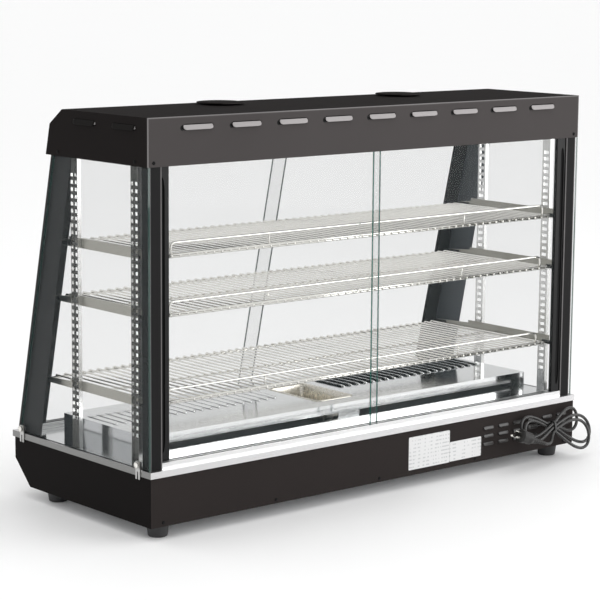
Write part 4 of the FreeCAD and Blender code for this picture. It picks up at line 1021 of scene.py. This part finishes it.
# %% Build the thermometer
DIAL = np.array([0.330, PANEL_FRONT, PANEL_MID])
case_profile = [(0, 0.020), (0.0162, 0.020), (0.0162, 0.0), (0.0198, 0.0), (0.0200, -0.0010),
                (0.0196, -0.0034), (0.0180, -0.0040), (0.0168, -0.0034), (0.0166, -0.0012),
                (0, -0.0012)]
case = piece("dial_case", *lathe(case_profile, DIAL, REARWARD, 48), chrome, repair=True)
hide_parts("thermometer")


def dial_print():
    """A white dial with a ring of ticks: the angle's remainder makes the ticks."""
    f = Finish("dial print", roughness=0.4)
    coords, x, _, z = f.places()
    across, high = x - float(DIAL[0]), z - float(DIAL[2])
    turn = f.node("ShaderNodeMath", {0: across, 1: high}, operation="ARCTAN2")
    wave = (turn * 20).maths("COSINE")
    radius = (across * across + high * high).maths("SQRT")
    ring = radius.near(0.0128, 0.0016).above(0.05)
    ink = wave.above(0.9) * ring
    fibres = f.noise(coords, 600, 2)
    paper = f.blend(fibres, (0.8, 0.8, 0.78), (0.86, 0.86, 0.84))
    f.put("Base Color", f.blend(ink, paper, (0.03, 0.03, 0.03)))
    return f.material


dial = piece("dial_face", *lathe([(0, 0.0), (0.0160, 0.0), (0.0160, 0.0004), (0, 0.0004)],
                                 DIAL + np.array([0, -0.0014, 0]), (0, -1, 0), 40),
             dial_print(), smooth=False, repair=True)
needle = piece("dial_needle", *block((-0.0005, -0.0003, -0.003), (0.0005, 0.0, 0.0115)), red_lens,
               smooth=False, repair=True)
spin = math.radians(-40)
turn_y = np.array([[math.cos(spin), 0, math.sin(spin)], [0, 1, 0],
                   [-math.sin(spin), 0, math.cos(spin)]])
flat = np.array([v.co[:] for v in needle.data.vertices]) @ turn_y.T + DIAL + np.array([0, -0.0022, 0])
needle.data.vertices.foreach_set("co", flat.ravel())
lens_glass = pane_glass("dial lens", (0, 1, 0), veil=0.04)
lens_body = lathe([(0, 0), (0.0168, 0), (0.0168, 0.0004), (0.010, 0.0009), (0, 0.0011)],
                  DIAL + np.array([0, -0.0028, 0]), FORWARD, 40)
lens = piece("dial_lens", *lens_body, lens_glass, repair=True)
print("thermometer pieces:", case.name, dial.name, needle.name, lens.name)

# %% [markdown]
# ## Light and floor
#
# A plain studio: a pale floor that runs to the horizon, a large soft light above and one behind the
# viewer. Metal shows only what it reflects, so the sky has a paler top and a darker band. Without
# the band, the chromed wires would vanish into the white.

# %% Light the studio
world = bpy.data.worlds.new("studio")
bpy.context.scene.world = world
world.use_nodes = True
sky = world.node_tree.nodes
links = world.node_tree.links
coords = sky.new("ShaderNodeTexCoord")
apart = sky.new("ShaderNodeSeparateXYZ")
ramp = sky.new("ShaderNodeValToRGB")
links.new(coords.outputs["Generated"], apart.inputs[0])
links.new(apart.outputs[2], ramp.inputs[0])
links.new(ramp.outputs[0], sky["Background"].inputs[0])
SHADES = [(0.0, 1.10), (0.22, 0.80), (0.50, 0.92), (0.80, 1.20)]
bands = ramp.color_ramp.elements
steps = [bands[0], bands.new(0.25), bands.new(0.5), bands.new(0.75)]
for element, (spot, shade) in zip(steps, SHADES):
    element.position = spot
    element.color = (shade, shade, shade, 1)
sky["Background"].inputs[1].default_value = 1.0


def softbox(name, spot, target, wide, tall, watts):
    """A rectangular lamp at a spot that faces a target."""
    light = bpy.data.lights.new(name, "AREA")
    light.shape = "RECTANGLE"
    light.size, light.size_y = wide, tall
    light.energy = watts
    back = np.array(spot, float) - np.array(target, float)
    back /= np.linalg.norm(back)
    x_axis = np.cross([0, 0, 1.0], back)
    x_axis /= np.linalg.norm(x_axis)
    aim(add_to_scene(name, light), x_axis, np.cross(back, x_axis), back, spot)


softbox("rear light", (-2.4, 2.9, 1.1), (0, 0, 0.4), 2.6, 1.9, 50)
softbox("top light", (0.2, 0.3, 3.4), (0, 0, 0.4), 3.0, 2.2, 15)
floor = add_to_scene("floor", bpy.data.meshes.new("floor"))
floor.data.from_pydata([(-90, -90, 0), (90, -90, 0), (90, 90, 0), (-90, 90, 0)], [], [(0, 1, 2, 3)])
floor_paint = Finish("floor paint", roughness=0.6, specular_ior_level=0.2)
floor_coords, *_ = floor_paint.places()
floor_cloud = floor_paint.noise(floor_coords, 2.0)
floor_paint.put("Base Color", floor_paint.blend(floor_cloud, (0.94, 0.94, 0.94), (0.95, 0.95, 0.95)))
floor.data.materials.append(floor_paint.material)
bpy.context.scene.view_settings.view_transform = "Standard"
print("lights ready")
